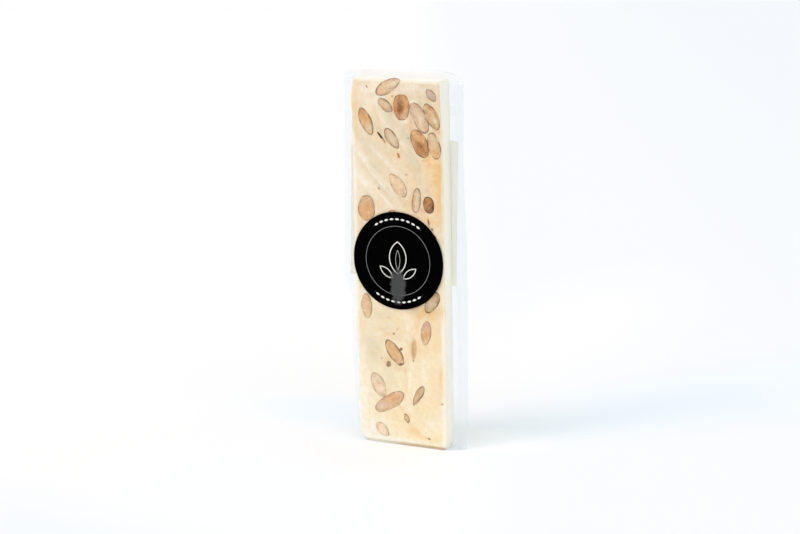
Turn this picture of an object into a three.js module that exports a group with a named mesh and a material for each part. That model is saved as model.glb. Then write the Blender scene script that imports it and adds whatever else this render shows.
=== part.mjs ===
// A bar of almond nougat in a clear film bag, with a round label on its front
// and a square paper label on its back. The bag is sealed, so it is one solid
// out to its film: the bar's flat faces in front and behind, a pressed fold
// down each side, a roof that slopes up and back to a thin upright fin, the
// flap that folds over the fin and lies down the back, and the bottom seam
// tucked under the bar as a foot.
//
// Millimetres, +Z up. The front faces -Y. The origin is the middle of the base.
import * as THREE from 'three';

// ---- driving dimensions ------------------------------------------------------
const BAR_WIDTH = 48.1;
const BAR_DEPTH = 9.4;
const BAR_HEIGHT = 186.2;
const BAR_LIFT = 1.2; // the tucked seam holds the bar this far off the table

const FILM_SLACK = 0.35; // room between the bar and its film

// Each side fold of the bag at some heights, foot to ear: height, distance from
// the bar's middle, depth. Between them it runs in soft curves. The left fold
// draws in below the back label, where no paper holds the film out.
const RIGHT_FOLD = [
  [0, 33, 0.9], [26, 33.9, 1], [60, 34.2, 1.2], [80, 34.2, 1.2],
  [110, 33.7, 1.6], [145, 32.1, 2.6], [187, 31.8, 4.3], [193, 31.8, 4.95],
];
const LEFT_FOLD = [
  [0, 28.4, 0.9], [38, 30.1, 1], [72, 30.2, 1.2], [86, 34.2, 1.2],
  [100, 34.2, 1.5], [130, 33.5, 2], [187, 33.6, 4.3], [191, 33.8, 4.95],
];
const FLANK_HOLLOW = 0.45; // the film between bar and fold sinks in this much,
const FLANK_HOLLOW_SWING = 0.6; // by this share more in some places than others,
const FLANK_HOLLOW_RUN = 9; // over this height for each radian,
const END_REACH = 12; // and not at all at the foot and the ears, over this height

// the flap's fold, which is the bag's highest line: distance along it, height
const RIDGE = [[-34, 190.2], [-13, 192.1], [12, 193.9], [20, 193.9], [33, 192.4]];
const FIN_HEIGHT = 2.4; // films pressed together below that fold
const FIN_THICKNESS = 0.9;
const FIN_HALF_WIDTH = 30; // its flat part
const FIN_TIP_INSET = 0.2; // its top is this much thinner on each side
const EAR_START = 166; // from here up the side folds climb less than the bar's edges,
const EAR_DROP = 5; // down to this much less at the roof

const FLAP_LENGTH = 27; // how far the flap reaches down the back
const FLAP_RISE = 0.35; // its folded films stand off the back by this much
const FLAP_EDGE = 0.8; // height of the step at its lower edge
const FOOT_RISE = 1.1; // height over which the films draw in to the foot
const FOOT_INSET = 0.55; // the foot is this much smaller all round

const LABEL_GAP = 0.3; // labels stay this far off the bag
const LABEL_THICKNESS = 0.3;

const FRONT_LABEL_RADIUS = 25;
const FRONT_LABEL_X = -0.98;
const FRONT_LABEL_Z = 96.5;
const FRONT_LABEL_SIDES = 96;

const BACK_LABEL_WIDTH = 60; // measured flat
const BACK_LABEL_HEIGHT = 73.6;
const BACK_LABEL_X = -1.2;
const BACK_LABEL_Z = 121.2;
const BACK_LABEL_TURN = 1.2; // degrees, its top towards the right

// ---- sizes that follow from them ----------------------------------------------
const BACK_Y = BAR_DEPTH / 2 + FILM_SLACK;
const FRONT_Y = -BACK_Y;
const EDGE_X = BAR_WIDTH / 2 + FILM_SLACK;
const FLAP_Y = BACK_Y + FLAP_RISE;
const ROOF_START = BAR_LIFT + BAR_HEIGHT + FILM_SLACK;
const BAG_HEIGHT = Math.max(...RIDGE.map(([, height]) => height));
const FLAP_END = BAG_HEIGHT - FLAP_LENGTH;

// how finely the bag is divided
const FRONT_STEPS = 6;
const FLANK_STEPS = 5;
const BACK_FLANK_STEPS = 4;
const BODY_RING_SPACING = 4;
const ROOF_RINGS = 4;
const FIN_RINGS = 2;
const BACK_LABEL_ROWS = 12;
const TOUCHING = 1e-6;

const { clamp, degToRad, lerp, smoothstep } = THREE.MathUtils;

// ---- helpers --------------------------------------------------------------------

// A closed mesh from rings of the same number of points, lowest ring first, each
// running anticlockwise seen from above, with a fan over each end.
function loftRings(rings) {
  const count = rings[0].length;
  const positions = rings.flat(2);
  const faces = [];
  for (let ring = 0; ring < rings.length - 1; ring++) {
    for (let i = 0; i < count; i++) {
      const next = (i + 1) % count;
      const a = ring * count + i;
      const b = ring * count + next;
      faces.push(a, b, b + count, a, b + count, a + count);
    }
  }
  const capRing = (ring, upwards) => {
    const middle = positions.length / 3;
    const centre = new THREE.Vector3();
    for (const point of rings[ring]) centre.add(new THREE.Vector3(...point));
    positions.push(...centre.divideScalar(count).toArray());
    for (let i = 0; i < count; i++) {
      const a = ring * count + i;
      const b = ring * count + ((i + 1) % count);
      faces.push(...(upwards ? [a, b, middle] : [b, a, middle]));
    }
  };
  capRing(0, false);
  capRing(rings.length - 1, true);
  return geometryFrom(positions, faces);
}

// What a list of places and values gives at a place between two of them: each
// place comes first in its row, and the values after it run softly to the next.
function softCurve(rows, place) {
  const last = rows.length - 1;
  let row = 0;
  while (row < last - 1 && place > rows[row + 1][0]) row++;
  const [from, to] = [rows[row], rows[row + 1]];
  const share = smoothstep(place, from[0], to[0]);
  return from.slice(1).map((value, i) => lerp(value, to[i + 1], share));
}

function geometryFrom(positions, faces) {
  const geometry = new THREE.BufferGeometry();
  geometry.setAttribute('position', new THREE.Float32BufferAttribute(positions, 3));
  geometry.setIndex(faces);
  geometry.computeVertexNormals();
  return geometry;
}

// Points from one place to the next, the first included and the last left out,
// with the middle of the run moved by sag along the given direction.
function run(from, to, steps, sag = 0, direction = [0, 0]) {
  const points = [];
  for (let i = 0; i < steps; i++) {
    const t = i / steps;
    const dip = sag * Math.sin(Math.PI * t);
    points.push([
      lerp(from[0], to[0], t) + dip * direction[0],
      lerp(from[1], to[1], t) + dip * direction[1],
    ]);
  }
  return points;
}

// ---- the bag ----------------------------------------------------------------------

// How free the film is to sink in at a height: not at all at the foot and the ears.
function freedom(z) {
  return smoothstep(z, 0, END_REACH) * (1 - smoothstep(z, ROOF_START - END_REACH, ROOF_START));
}

// A level of the bag is told by its height, how far up the roof it is (0 to 1)
// and how far up the fin. This is the height of a place on it.
function heightAt(level, x) {
  const outness = clamp((Math.abs(x) - EDGE_X) / (FIN_HALF_WIDTH - EDGE_X), 0, 1);
  const drop = EAR_DROP * outness * smoothstep(level.z, EAR_START, ROOF_START);
  const [ridge] = softCurve(RIDGE, x);
  return lerp(level.z - drop, ridge - FIN_HEIGHT * (1 - level.fin), level.roof);
}

// The bag's outline at a level, anticlockwise from its front left edge.
function bagRing(level) {
  const { z, roof, fin } = level;
  const foot = 1 - smoothstep(z, 0, FOOT_RISE);
  const inset = FOOT_INSET * foot;
  const tip = FIN_TIP_INSET * fin;
  const flap = FLAP_RISE * smoothstep(z, FLAP_END, FLAP_END + FLAP_EDGE);
  const frontY = lerp(FRONT_Y, FLAP_Y - FIN_THICKNESS, roof) + inset + tip;
  const backY = BACK_Y + flap - inset - tip;
  const edgeX = lerp(EDGE_X, FIN_HALF_WIDTH, roof) - inset;
  const foldAt = (fold, side) => {
    const [reach, depth] = softCurve(fold, heightAt(level, side * FIN_HALF_WIDTH));
    return [side * (reach - inset), depth];
  };
  const hollow = (phase) =>
    FLANK_HOLLOW * freedom(z) * (1 + FLANK_HOLLOW_SWING * Math.sin(z / FLANK_HOLLOW_RUN + phase));

  const frontLeft = [-edgeX, frontY];
  const frontRight = [edgeX, frontY];
  const right = foldAt(RIGHT_FOLD, 1);
  const backRight = [edgeX, backY];
  const backLeft = [-edgeX, backY];
  const left = foldAt(LEFT_FOLD, -1);
  const outline = [
    ...run(frontLeft, frontRight, FRONT_STEPS),
    ...run(frontRight, right, FLANK_STEPS, hollow(0), [-Math.SQRT1_2, Math.SQRT1_2]),
    ...run(right, backRight, BACK_FLANK_STEPS),
    ...run(backRight, backLeft, FRONT_STEPS),
    ...run(backLeft, left, BACK_FLANK_STEPS),
    ...run(left, frontLeft, FLANK_STEPS, hollow(2), [Math.SQRT1_2, Math.SQRT1_2]),
  ];
  return outline.map(([x, y]) => [x, y, heightAt(level, x)]);
}

function bagLevels() {
  const heights = [0, FOOT_RISE / 2, FOOT_RISE];
  const bodySteps = Math.round((ROOF_START - FOOT_RISE) / BODY_RING_SPACING);
  for (let i = 1; i <= bodySteps; i++) {
    heights.push(lerp(FOOT_RISE, ROOF_START, i / bodySteps));
  }
  // the flap's lower edge is a step, so it has rings of its own
  heights.push(FLAP_END, FLAP_END + FLAP_EDGE);
  heights.sort((a, b) => a - b);
  const levels = heights.map((z) => ({ z, roof: 0, fin: 0 }));
  for (let i = 1; i <= ROOF_RINGS; i++) {
    levels.push({ z: ROOF_START, roof: i / ROOF_RINGS, fin: 0 });
  }
  for (let i = 1; i <= FIN_RINGS; i++) {
    levels.push({ z: ROOF_START, roof: 1, fin: i / FIN_RINGS });
  }
  return levels;
}

function bagGeometry() {
  return loftRings(bagLevels().map(bagRing));
}

// ---- labels ------------------------------------------------------------------------

// Carries a place on a flat label to the bag, standing off it by lift: onto the
// front (facing -1) or the back (facing 1), and past the bar's edge along the
// film that slopes away to the fold.
function layOnBag(x, z, lift, facing) {
  const over = Math.abs(x) - EDGE_X;
  if (over < -TOUCHING) return [x, facing * (BACK_Y + lift), z];
  const side = Math.sign(x);
  const [foldX, foldY] = softCurve(side < 0 ? LEFT_FOLD : RIGHT_FOLD, z);
  const slope = Math.atan2(BACK_Y - facing * foldY, foldX - EDGE_X);
  if (over <= TOUCHING) {
    const mitre = lift / Math.cos(slope / 2);
    return [
      side * (EDGE_X + mitre * Math.sin(slope / 2)),
      facing * (BACK_Y + mitre * Math.cos(slope / 2)),
      z,
    ];
  }
  return [
    side * (EDGE_X + over * Math.cos(slope) + lift * Math.sin(slope)),
    facing * (BACK_Y - over * Math.sin(slope) + lift * Math.cos(slope)),
    z,
  ];
}

// A label from its flat points. Its faces are triangles of them, and its border the
// points round it, both anticlockwise seen from outside.
function labelGeometry(points, faces, border, facing) {
  const positions = [];
  for (const lift of [LABEL_GAP, LABEL_GAP + LABEL_THICKNESS]) {
    for (const [x, z] of points) positions.push(...layOnBag(x, z, lift, facing));
  }
  const outer = points.length;
  const triangles = [];
  for (const [a, b, c] of faces) {
    triangles.push(a, c, b, a + outer, b + outer, c + outer);
  }
  border.forEach((from, i) => {
    const to = border[(i + 1) % border.length];
    triangles.push(from, to, to + outer, from, to + outer, from + outer);
  });
  return geometryFrom(positions, triangles);
}

// The triangles of a convex face, told by its corners in order.
function fan(corners) {
  return corners.slice(2).map((corner, i) => [corners[0], corners[i + 1], corner]);
}

// The round label reaches past the front at its left, and bends round the edge.
function frontLabelGeometry() {
  const bendAngle = Math.acos((-EDGE_X - FRONT_LABEL_X) / FRONT_LABEL_RADIUS);
  const angles = [bendAngle, 2 * Math.PI - bendAngle];
  for (let i = 0; i < FRONT_LABEL_SIDES; i++) {
    angles.push((2 * Math.PI * i) / FRONT_LABEL_SIDES);
  }
  angles.sort((a, b) => a - b);
  const outline = angles.map((angle) => [
    FRONT_LABEL_X + FRONT_LABEL_RADIUS * Math.cos(angle),
    FRONT_LABEL_Z + FRONT_LABEL_RADIUS * Math.sin(angle),
  ]);
  const border = [...outline.keys()];
  const onFront = border.filter((i) => outline[i][0] >= -EDGE_X - TOUCHING);
  const pastEdge = border.filter((i) => outline[i][0] <= -EDGE_X + TOUCHING);
  return labelGeometry(outline, [...fan(onFront), ...fan(pastEdge)], border, -1);
}

// The paper label is wider than the back: both its sides follow the film round.
// It is made in rows of points, at its sides and where it bends.
function backLabelGeometry() {
  const turn = degToRad(BACK_LABEL_TURN);
  const reach = (BACK_LABEL_WIDTH / 2) * Math.cos(turn);
  const points = [];
  for (let row = 0; row <= BACK_LABEL_ROWS; row++) {
    const up = BACK_LABEL_HEIGHT * (row / BACK_LABEL_ROWS - 0.5);
    const middleX = BACK_LABEL_X + up * Math.sin(turn);
    const middleZ = BACK_LABEL_Z + up * Math.cos(turn);
    for (const x of [middleX + reach, EDGE_X, -EDGE_X, middleX - reach]) {
      points.push([x, middleZ - (x - middleX) * Math.tan(turn)]);
    }
  }
  const columns = 4;
  const at = (row, column) => row * columns + column;
  const faces = [];
  for (let row = 0; row < BACK_LABEL_ROWS; row++) {
    for (let column = 0; column < columns - 1; column++) {
      const next = column + 1;
      faces.push(...fan([at(row, column), at(row, next), at(row + 1, next), at(row + 1, column)]));
    }
  }
  const border = [];
  for (let column = 0; column < columns; column++) border.push(at(0, column));
  for (let row = 1; row <= BACK_LABEL_ROWS; row++) border.push(at(row, columns - 1));
  for (let column = columns - 2; column >= 0; column--) border.push(at(BACK_LABEL_ROWS, column));
  for (let row = BACK_LABEL_ROWS - 1; row > 0; row--) border.push(at(row, 0));
  return labelGeometry(points, faces, border, 1);
}

// ---- materials and assembly ----------------------------------------------------------
const filmAndNougat = new THREE.MeshStandardMaterial({
  color: '#f3e4c8', roughness: 0.25, metalness: 0,
});
const blackPaper = new THREE.MeshStandardMaterial({
  color: '#0a0a0a', roughness: 0.35, metalness: 0,
});
const creamPaper = new THREE.MeshStandardMaterial({
  color: '#f4ecd9', roughness: 0.7, metalness: 0,
});

function part(name, geometry, material) {
  const mesh = new THREE.Mesh(geometry, material);
  mesh.name = name;
  return mesh;
}

const nougatBar = new THREE.Group();
nougatBar.add(part('bag', bagGeometry(), filmAndNougat));
nougatBar.add(part('front_label', frontLabelGeometry(), blackPaper));
nougatBar.add(part('back_label', backLabelGeometry(), creamPaper));

export default nougatBar;
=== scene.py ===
# %% [markdown]
# # A bar of almond nougat in a clear film bag
#
# The real thing is a slice sawn from a slab of white nougat: a cut face full of
# almonds in front, edible wafer paper on its narrow sides, and a bag of clear film
# round it that is closed by a flap at the top. A round black label is stuck on the
# front and a cream paper one on the back.
#
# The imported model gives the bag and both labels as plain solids. It is loaded
# first, and everything below is made to its measures.

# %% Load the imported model
import math
import random

import bmesh
import bpy
from mathutils import Matrix, Vector, noise


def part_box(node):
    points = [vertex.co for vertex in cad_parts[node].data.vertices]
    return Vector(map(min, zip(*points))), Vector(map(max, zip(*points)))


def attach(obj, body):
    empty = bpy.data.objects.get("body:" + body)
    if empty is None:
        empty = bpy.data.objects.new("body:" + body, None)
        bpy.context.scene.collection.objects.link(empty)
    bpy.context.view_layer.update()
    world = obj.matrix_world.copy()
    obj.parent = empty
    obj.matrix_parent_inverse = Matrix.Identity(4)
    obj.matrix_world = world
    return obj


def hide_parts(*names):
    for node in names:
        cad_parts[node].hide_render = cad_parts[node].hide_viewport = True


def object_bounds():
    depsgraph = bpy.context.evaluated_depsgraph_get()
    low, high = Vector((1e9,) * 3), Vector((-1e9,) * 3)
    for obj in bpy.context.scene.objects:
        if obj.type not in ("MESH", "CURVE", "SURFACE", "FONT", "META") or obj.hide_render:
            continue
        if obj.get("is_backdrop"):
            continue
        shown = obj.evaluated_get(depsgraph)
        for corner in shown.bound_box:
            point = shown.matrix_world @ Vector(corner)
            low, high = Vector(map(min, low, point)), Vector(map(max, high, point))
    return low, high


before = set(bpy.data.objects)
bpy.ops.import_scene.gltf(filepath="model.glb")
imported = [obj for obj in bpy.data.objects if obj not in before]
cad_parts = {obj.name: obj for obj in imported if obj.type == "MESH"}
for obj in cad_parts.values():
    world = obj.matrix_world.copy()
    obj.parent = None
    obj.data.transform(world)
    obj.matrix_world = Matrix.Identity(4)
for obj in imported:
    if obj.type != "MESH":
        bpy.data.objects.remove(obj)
cad_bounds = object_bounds()
print("packed nodes:", sorted(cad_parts))
print("packed size in mm:", [round(side * 1000, 1) for side in cad_bounds[1] - cad_bounds[0]])

# %% [markdown]
# ## Sizes
#
# Blender counts in metres, and the bar is easier to think of in millimetres, so
# every size is written in millimetres times MM. The bag's film lies a little off
# the bar, and the bar stands a little off the table on the bag's tucked seam.

# %% Driving sizes
MM = 0.001
BAR_WIDTH = 48.1 * MM
BAR_DEPTH = 9.4 * MM
BAR_HEIGHT = 186.9 * MM
BAR_LIFT = 0.75 * MM
FILM_SLACK = 0.35 * MM
ROOF_SLACK = 0.10 * MM

EDGE_X = BAR_WIDTH / 2 + FILM_SLACK
FILM_Y = BAR_DEPTH / 2 + FILM_SLACK
BAR_LOW = Vector((-BAR_WIDTH / 2, -BAR_DEPTH / 2, BAR_LIFT))
BAR_HIGH = Vector((BAR_WIDTH / 2, BAR_DEPTH / 2, BAR_LIFT + BAR_HEIGHT))
print("the bar holds", round(BAR_WIDTH * BAR_DEPTH * BAR_HEIGHT * 1e6), "ml of nougat")

# %% [markdown]
# ## Hands
#
# Modelling by hand in Blender means picking an object, going into edit mode,
# picking faces or edges and running an operator on them. These few helpers do the
# picking, so that each piece below reads as a list of such moves.


# %% Helpers for picking and shaping
def only(*objects):
    """Selects these objects and no others, and makes the last one active."""
    bpy.ops.object.select_all(action="DESELECT")
    for obj in objects:
        obj.select_set(True)
    bpy.context.view_layer.objects.active = objects[-1]


def added(name):
    """Names the object that a primitive has just made, and settles it at the origin."""
    obj = bpy.context.object
    obj.name = obj.data.name = name
    bpy.ops.object.transform_apply(location=True, rotation=True, scale=True)
    return obj


class Editing:
    """Edit mode on one object, for the length of a with block."""

    def __init__(self, obj):
        self.obj = obj

    def __enter__(self):
        only(self.obj)
        bpy.ops.object.mode_set(mode="EDIT")
        self.pick("FACE", lambda face: True)
        return self

    def __exit__(self, *problem):
        bpy.ops.object.mode_set(mode="OBJECT")

    def pick(self, kind, wanted):
        """Selects the faces, edges or vertices that are wanted, and nothing else."""
        bpy.ops.mesh.select_mode(type=kind)
        bpy.ops.mesh.select_all(action="DESELECT")
        mesh = bmesh.from_edit_mesh(self.obj.data)
        parts = {"FACE": mesh.faces, "EDGE": mesh.edges, "VERT": mesh.verts}[kind]
        for part in parts:
            if wanted(part):
                part.select_set(True)
        bmesh.update_edit_mesh(self.obj.data)


def runs_along(edge, axis):
    """Whether an edge runs along the X, Y or Z axis (0, 1, 2)."""
    start, end = edge.verts
    way = end.co - start.co
    return abs(way[axis]) > 0.999 * way.length


def divide(obj, axis, pieces):
    """Cuts every edge along an axis, and the faces between, into equal pieces."""
    with Editing(obj) as edit:
        edit.pick("EDGE", lambda edge: runs_along(edge, axis))
        bpy.ops.mesh.subdivide(number_cuts=pieces - 1)


def modify(obj, kind, **settings):
    """Adds a modifier with these settings and applies it."""
    only(obj)
    bpy.ops.object.modifier_add(type=kind)
    modifier = obj.modifiers[-1]
    for name, setting in settings.items():
        setattr(modifier, name, setting)
    bpy.ops.object.modifier_apply(modifier=modifier.name)


def roughen(obj, size, depth, middle=0.5, detail=2, group=""):
    """Pushes a surface in and out by a cloudy pattern with bumps of this size and depth."""
    pattern = bpy.data.textures.new(obj.name + "_relief", "CLOUDS")
    pattern.noise_scale = size
    pattern.noise_depth = detail
    modify(obj, "DISPLACE", texture=pattern, strength=depth, mid_level=middle, vertex_group=group)


def smooth(obj, degrees):
    """Shades an object smooth, but for edges sharper than this."""
    only(obj)
    bpy.ops.object.shade_smooth_by_angle(angle=math.radians(degrees))


# %% [markdown]
# Other helpers work out a number for every vertex: how strongly a modifier works on
# it, or how much of a tone shows there. The last one hands a finished piece over.


# %% Helpers for numbers on a piece
def soften(value, low, high):
    """0 below low, 1 above high and a soft rise between."""
    share = min(max((value - low) / (high - low), 0), 1)
    return share * share * (3 - 2 * share)


def paint(obj, name, strength):
    """Keeps a number from 0 to 1 for each vertex, for a material to read by name."""
    layer = obj.data.attributes.new(name, "FLOAT", "POINT")
    for vertex in obj.data.vertices:
        layer.data[vertex.index].value = strength(vertex.co)


def weigh(obj, name, strength):
    """A vertex group: how strongly a modifier works on each vertex."""
    group = obj.vertex_groups.new(name=name)
    for vertex in obj.data.vertices:
        group.add([vertex.index], strength(vertex.co), "REPLACE")


def belongs(obj, slot, *nodes):
    """Fixes a finished piece to the object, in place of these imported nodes."""
    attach(obj, "root")
    if nodes:
        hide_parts(*nodes)
    print(obj.name, "has", len(obj.data.polygons), "faces")


# %% [markdown]
# ## Sums in a material
#
# A material is a graph of nodes. Written out one node at a time it is hard to
# read, so an output socket gets wrapped in a small class: adding or multiplying
# two of them adds the Math node. One function makes every other node.


# %% Sockets that can be added and multiplied
def node(tree, kind, settings=None, values=None, output=0):
    """Adds a node, makes its settings, fills its sockets and gives one of its outputs."""
    made = tree.nodes.new(kind)
    for name, setting in (settings or {}).items():
        setattr(made, name, setting)
    for name, value in (values or {}).items():
        if isinstance(value, Socket):
            tree.links.new(value.socket, made.inputs[name])
        else:
            made.inputs[name].default_value = value
    return Socket(made.outputs[output])


class Socket:
    """An output socket. A sum with it is written as in Python and adds Math nodes."""

    def __init__(self, socket):
        self.socket = socket
        self.tree = socket.id_data

    def math(self, operation, *values):
        return node(self.tree, "ShaderNodeMath", {"operation": operation}, dict(enumerate(values)))

    def __add__(self, other):
        return self.math("ADD", self, other)

    def __sub__(self, other):
        return self.math("SUBTRACT", self, other)

    def __rsub__(self, other):
        return self.math("SUBTRACT", other, self)

    def __mul__(self, other):
        return self.math("MULTIPLY", self, other)

    def __truediv__(self, other):
        return self.math("DIVIDE", self, other)

    def __pow__(self, other):
        return self.math("POWER", self, other)

    def __abs__(self):
        return self.math("ABSOLUTE", self)

    __radd__ = __add__
    __rmul__ = __mul__

    def rise(self, low, high):
        """0 where this is below low, 1 above high and a soft rise between."""
        settings = {"interpolation_type": "SMOOTHSTEP"}
        if low > high:
            return 1 - self.rise(high, low)
        return node(self.tree, "ShaderNodeMapRange", settings,
                    {"Value": self, "From Min": low, "From Max": high})

    def least(self, other):
        return self.math("MINIMUM", self, other)

    def most(self, other):
        return self.math("MAXIMUM", self, other)

    def parts(self):
        """The x, y and z of a vector."""
        split = node(self.tree, "ShaderNodeSeparateXYZ", values={0: self})
        return [Socket(output) for output in split.socket.node.outputs]

    def dot(self, direction):
        settings = {"operation": "DOT_PRODUCT"}
        return node(self.tree, "ShaderNodeVectorMath", settings,
                    {0: self, 1: direction}, output="Value")

    def speckle(self, size, detail, seed):
        """Cloudy noise with blobs of about this size, from 0 to 1."""
        settings = {"noise_dimensions": "4D"}
        values = {"Vector": self, "W": seed, "Scale": 1 / size, "Detail": detail}
        return node(self.tree, "ShaderNodeTexNoise", settings, values)


# %% [markdown]
# The rest are short words for what each finish below needs: a colour, a mixture of
# two, fine relief, a number kept on the mesh, and the material itself.


# %% Words for finishes
def colour(red, green, blue):
    """A colour from its three values of 0 to 255, as a paint program shows them."""
    def straight(value):
        value /= 255
        return value / 12.92 if value <= 0.04045 else ((value + 0.055) / 1.055) ** 2.4
    return (straight(red), straight(green), straight(blue), 1)


def mix(share, first, second):
    """Goes from the first colour to the second by a share of 0 to 1."""
    tree = share.tree
    return node(tree, "ShaderNodeMix", {"data_type": "RGBA"}, {0: share, 6: first, 7: second}, 2)


def together(x, y, z):
    """A vector from three numbers, of which the first is a socket."""
    return node(x.tree, "ShaderNodeCombineXYZ", values={"X": x, "Y": y, "Z": z})


def new_finish(name):
    """An empty material, and the place on the piece in millimetres for its patterns."""
    material = bpy.data.materials.new(name)
    material.use_nodes = True
    tree = material.node_tree
    tree.nodes.clear()
    place = node(tree, "ShaderNodeTexCoord", output="Object")
    millimetres = node(tree, "ShaderNodeVectorMath", {"operation": "SCALE"},
                       {0: place, "Scale": 1 / MM})
    return material, millimetres


def bumps(height, depth):
    """Fine relief for the light only: height from 0 to 1 is this deep."""
    values = {"Height": height, "Distance": depth, "Strength": 1.0}
    return node(height.tree, "ShaderNodeBump", values=values)


def cover(material, shader):
    """Puts a shader on the material's surface."""
    surface = material.node_tree.nodes.new("ShaderNodeOutputMaterial")
    shader.tree.links.new(shader.socket, surface.inputs["Surface"])


def read(tree, name, output="Fac"):
    """A number or colour that was kept on the mesh under this name."""
    return node(tree, "ShaderNodeAttribute", {"attribute_name": name}, output=output)


# %% [markdown]
# ## The camera
#
# The bar is seen from its right front and a little from above, through a long
# lens, so its upright edges hardly lean together. A camera looks down its own -Z
# axis: it is first tipped up from the floor, then turned round the upright axis.

# %% Camera
# the turn, tilt and roll in degrees, the lens and the sensor in mm
CAMERA_PLACE = Vector((448.98, -916.26, 334.24)) * MM
CAMERA_TURN = 26.226
CAMERA_TILT = 13.336
CAMERA_ROLL = -1.0766
LENS = 94.03
SENSOR = 36

bpy.ops.object.select_all(action="DESELECT")
bpy.ops.object.camera_add()
camera = bpy.context.object
camera.name = "camera"
camera.matrix_world = (
    Matrix.Translation(CAMERA_PLACE)
    @ Matrix.Rotation(math.radians(CAMERA_TURN), 4, "Z")
    @ Matrix.Rotation(math.radians(90 - CAMERA_TILT), 4, "X")
    @ Matrix.Rotation(math.radians(CAMERA_ROLL), 4, "Z")
)
camera.data.sensor_width = SENSOR
camera.data.lens = LENS
camera.data.clip_end = 50
bpy.context.scene.camera = camera
print("camera", round(CAMERA_PLACE.length / MM), "mm away")

# %% [markdown]
# ## The studio
#
# The bar stands on a wide white table, and light and shade are painted into its colour.
# It is a little darker and cooler to the right as the camera sees it, a painted fall-off
# of the light, a cool painted tint lies along the strip where the shadow falls, and a few
# round spots with soft edges paint cooler or lighter shade near the foot and in the shadows.

# %% White table
FLOOR_REACH = 9
SEEN_RIGHT = 0.4865
SHADOW_ACROSS, SHADOW_BACK = 0.70, 0.71

bpy.ops.object.select_all(action="DESELECT")
bpy.ops.mesh.primitive_circle_add(vertices=96, radius=FLOOR_REACH, fill_type="NGON")
floor = added("floor")
floor_finish, floor_place = new_finish("white_table")
across, back, _ = floor_place.parts()
to_right = across + back * SEEN_RIGHT
# painted light: darker and cooler to the right, where the light falls off, and cooler at the front left
floor_colour = mix(to_right.rise(0, 80), colour(246, 246, 246), colour(240, 243, 246))
floor_colour = mix(to_right.rise(150, 500), floor_colour, colour(236, 240, 244))
floor_colour = mix(back.rise(-110, -180) * across.rise(70, 20), floor_colour, colour(239, 243, 246))
# painted shadow tint: a cool colour along the strip where the key sun's shadow falls
down_shadow = across * SHADOW_ACROSS + back * SHADOW_BACK
off_shadow = back * SHADOW_ACROSS - across * SHADOW_BACK
painted_shadow_tint = down_shadow.rise(15, 50) * off_shadow.rise(-46, -18) * off_shadow.rise(66, 40)
floor_colour = mix(painted_shadow_tint, floor_colour, colour(241, 246, 251))
# painted shade: round spots that cool or lighten the shadows and the table near the foot
PAINTED_SHADE_SPOTS = [
    # x, y of the middle, half widths to the right and back (mm), share, colour
    (-9, 230, 60, 150, 0.9, (246, 246, 246)), (-62, 32, 50, 26, 0.9, (240, 246, 251)),
    (-10, -95, 90, 80, 0.8, (245, 249, 253)), (0, -10, 36, 18, 0.6, (241, 250, 255)),
    (43, 22, 22, 18, 0.7, (250, 251, 251)),
]
for x, y, wide, deep, share, tint in PAINTED_SHADE_SPOTS:
    away = (((across - x) / wide) ** 2 + ((back - y) / deep) ** 2) ** 0.5
    floor_colour = mix((1 - away.rise(0.3, 1.5)) * share, floor_colour, colour(*tint))
cover(floor_finish, node(floor_finish.node_tree, "ShaderNodeBsdfPrincipled", values={
    "Base Color": floor_colour, "Roughness": 0.7, "Specular IOR Level": 0.1}))
floor.data.materials.append(floor_finish)
floor.visible_glossy = False
floor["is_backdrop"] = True
print("the table reaches", FLOOR_REACH, "m and has", len(PAINTED_SHADE_SPOTS), "spots")

# %% [markdown]
# A soft low sun from the left front throws the long shadow, and two weaker ones fill
# it in. Suns light the whole table evenly, which a near lamp would not.

# %% Suns
SUNS = {
    # where it stands, how wide it is (degrees), how strong and of what tint
    "key": dict(place=(-0.68, -0.73, 0.66), width=24, strength=0.86, tint=(1, 0.70, 0.66)),
    "right": dict(place=(0.92, -0.38, 1.3), width=45, strength=0.48, tint=(1, 0.72, 0.60)),
    "high": dict(place=(-0.42, -0.85, 2.1), width=25, strength=0.25, tint=(1, 1, 1)),
}
for name, sun in SUNS.items():
    bpy.ops.object.light_add(type="SUN", location=sun["place"])
    light = bpy.context.object
    light.name = name
    light.data.angle = math.radians(sun["width"])
    light.data.energy = sun["strength"]
    light.data.color = sun["tint"]
    light.rotation_euler = (-light.location).to_track_quat("-Z", "Y").to_euler()
print("suns:", ", ".join(SUNS))

# %% [markdown]
# Clear film shows only where it mirrors something that is darker or lighter than what
# lies behind it, and black paper mirrors a white room as grey. So the light that falls
# on things comes from all round, with a little more from the right, while gloss sees a
# room that is bright at its sides and dark behind the camera.

# %% Sky
ROOM_LIGHT = 0.851
ROOM_LEAN = 0.21
ROOM_TINT = (0.893, 0.976, 1, 1)
SKY_BRIGHT = 1.0
SKY_DARK = 0.12
TOWARDS_CAMERA = Vector((CAMERA_PLACE.x, CAMERA_PLACE.y, 0)).normalized()

world = bpy.data.worlds.new("sky")
bpy.context.scene.world = world
world.use_nodes = True
tree = world.node_tree
way_out = node(tree, "ShaderNodeTexCoord", output="Generated")
behind_camera = way_out.dot(TOWARDS_CAMERA)
mirrored_room = SKY_BRIGHT - (SKY_BRIGHT - SKY_DARK) * behind_camera.rise(0.15, 0.7)
is_mirrored = node(tree, "ShaderNodeLightPath", output="Is Glossy Ray")
lit_room = ROOM_LIGHT + ROOM_LIGHT * ROOM_LEAN * way_out.dot((1, 0, 0))
sky = lit_room + is_mirrored * (mirrored_room - lit_room)
background = tree.nodes["Background"]
background.inputs["Color"].default_value = ROOM_TINT
tree.links.new(sky.socket, background.inputs["Strength"])
bpy.context.scene.view_settings.view_transform = "Standard"
print("the room's light is", ROOM_LIGHT, "and its dark side", SKY_DARK)

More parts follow.
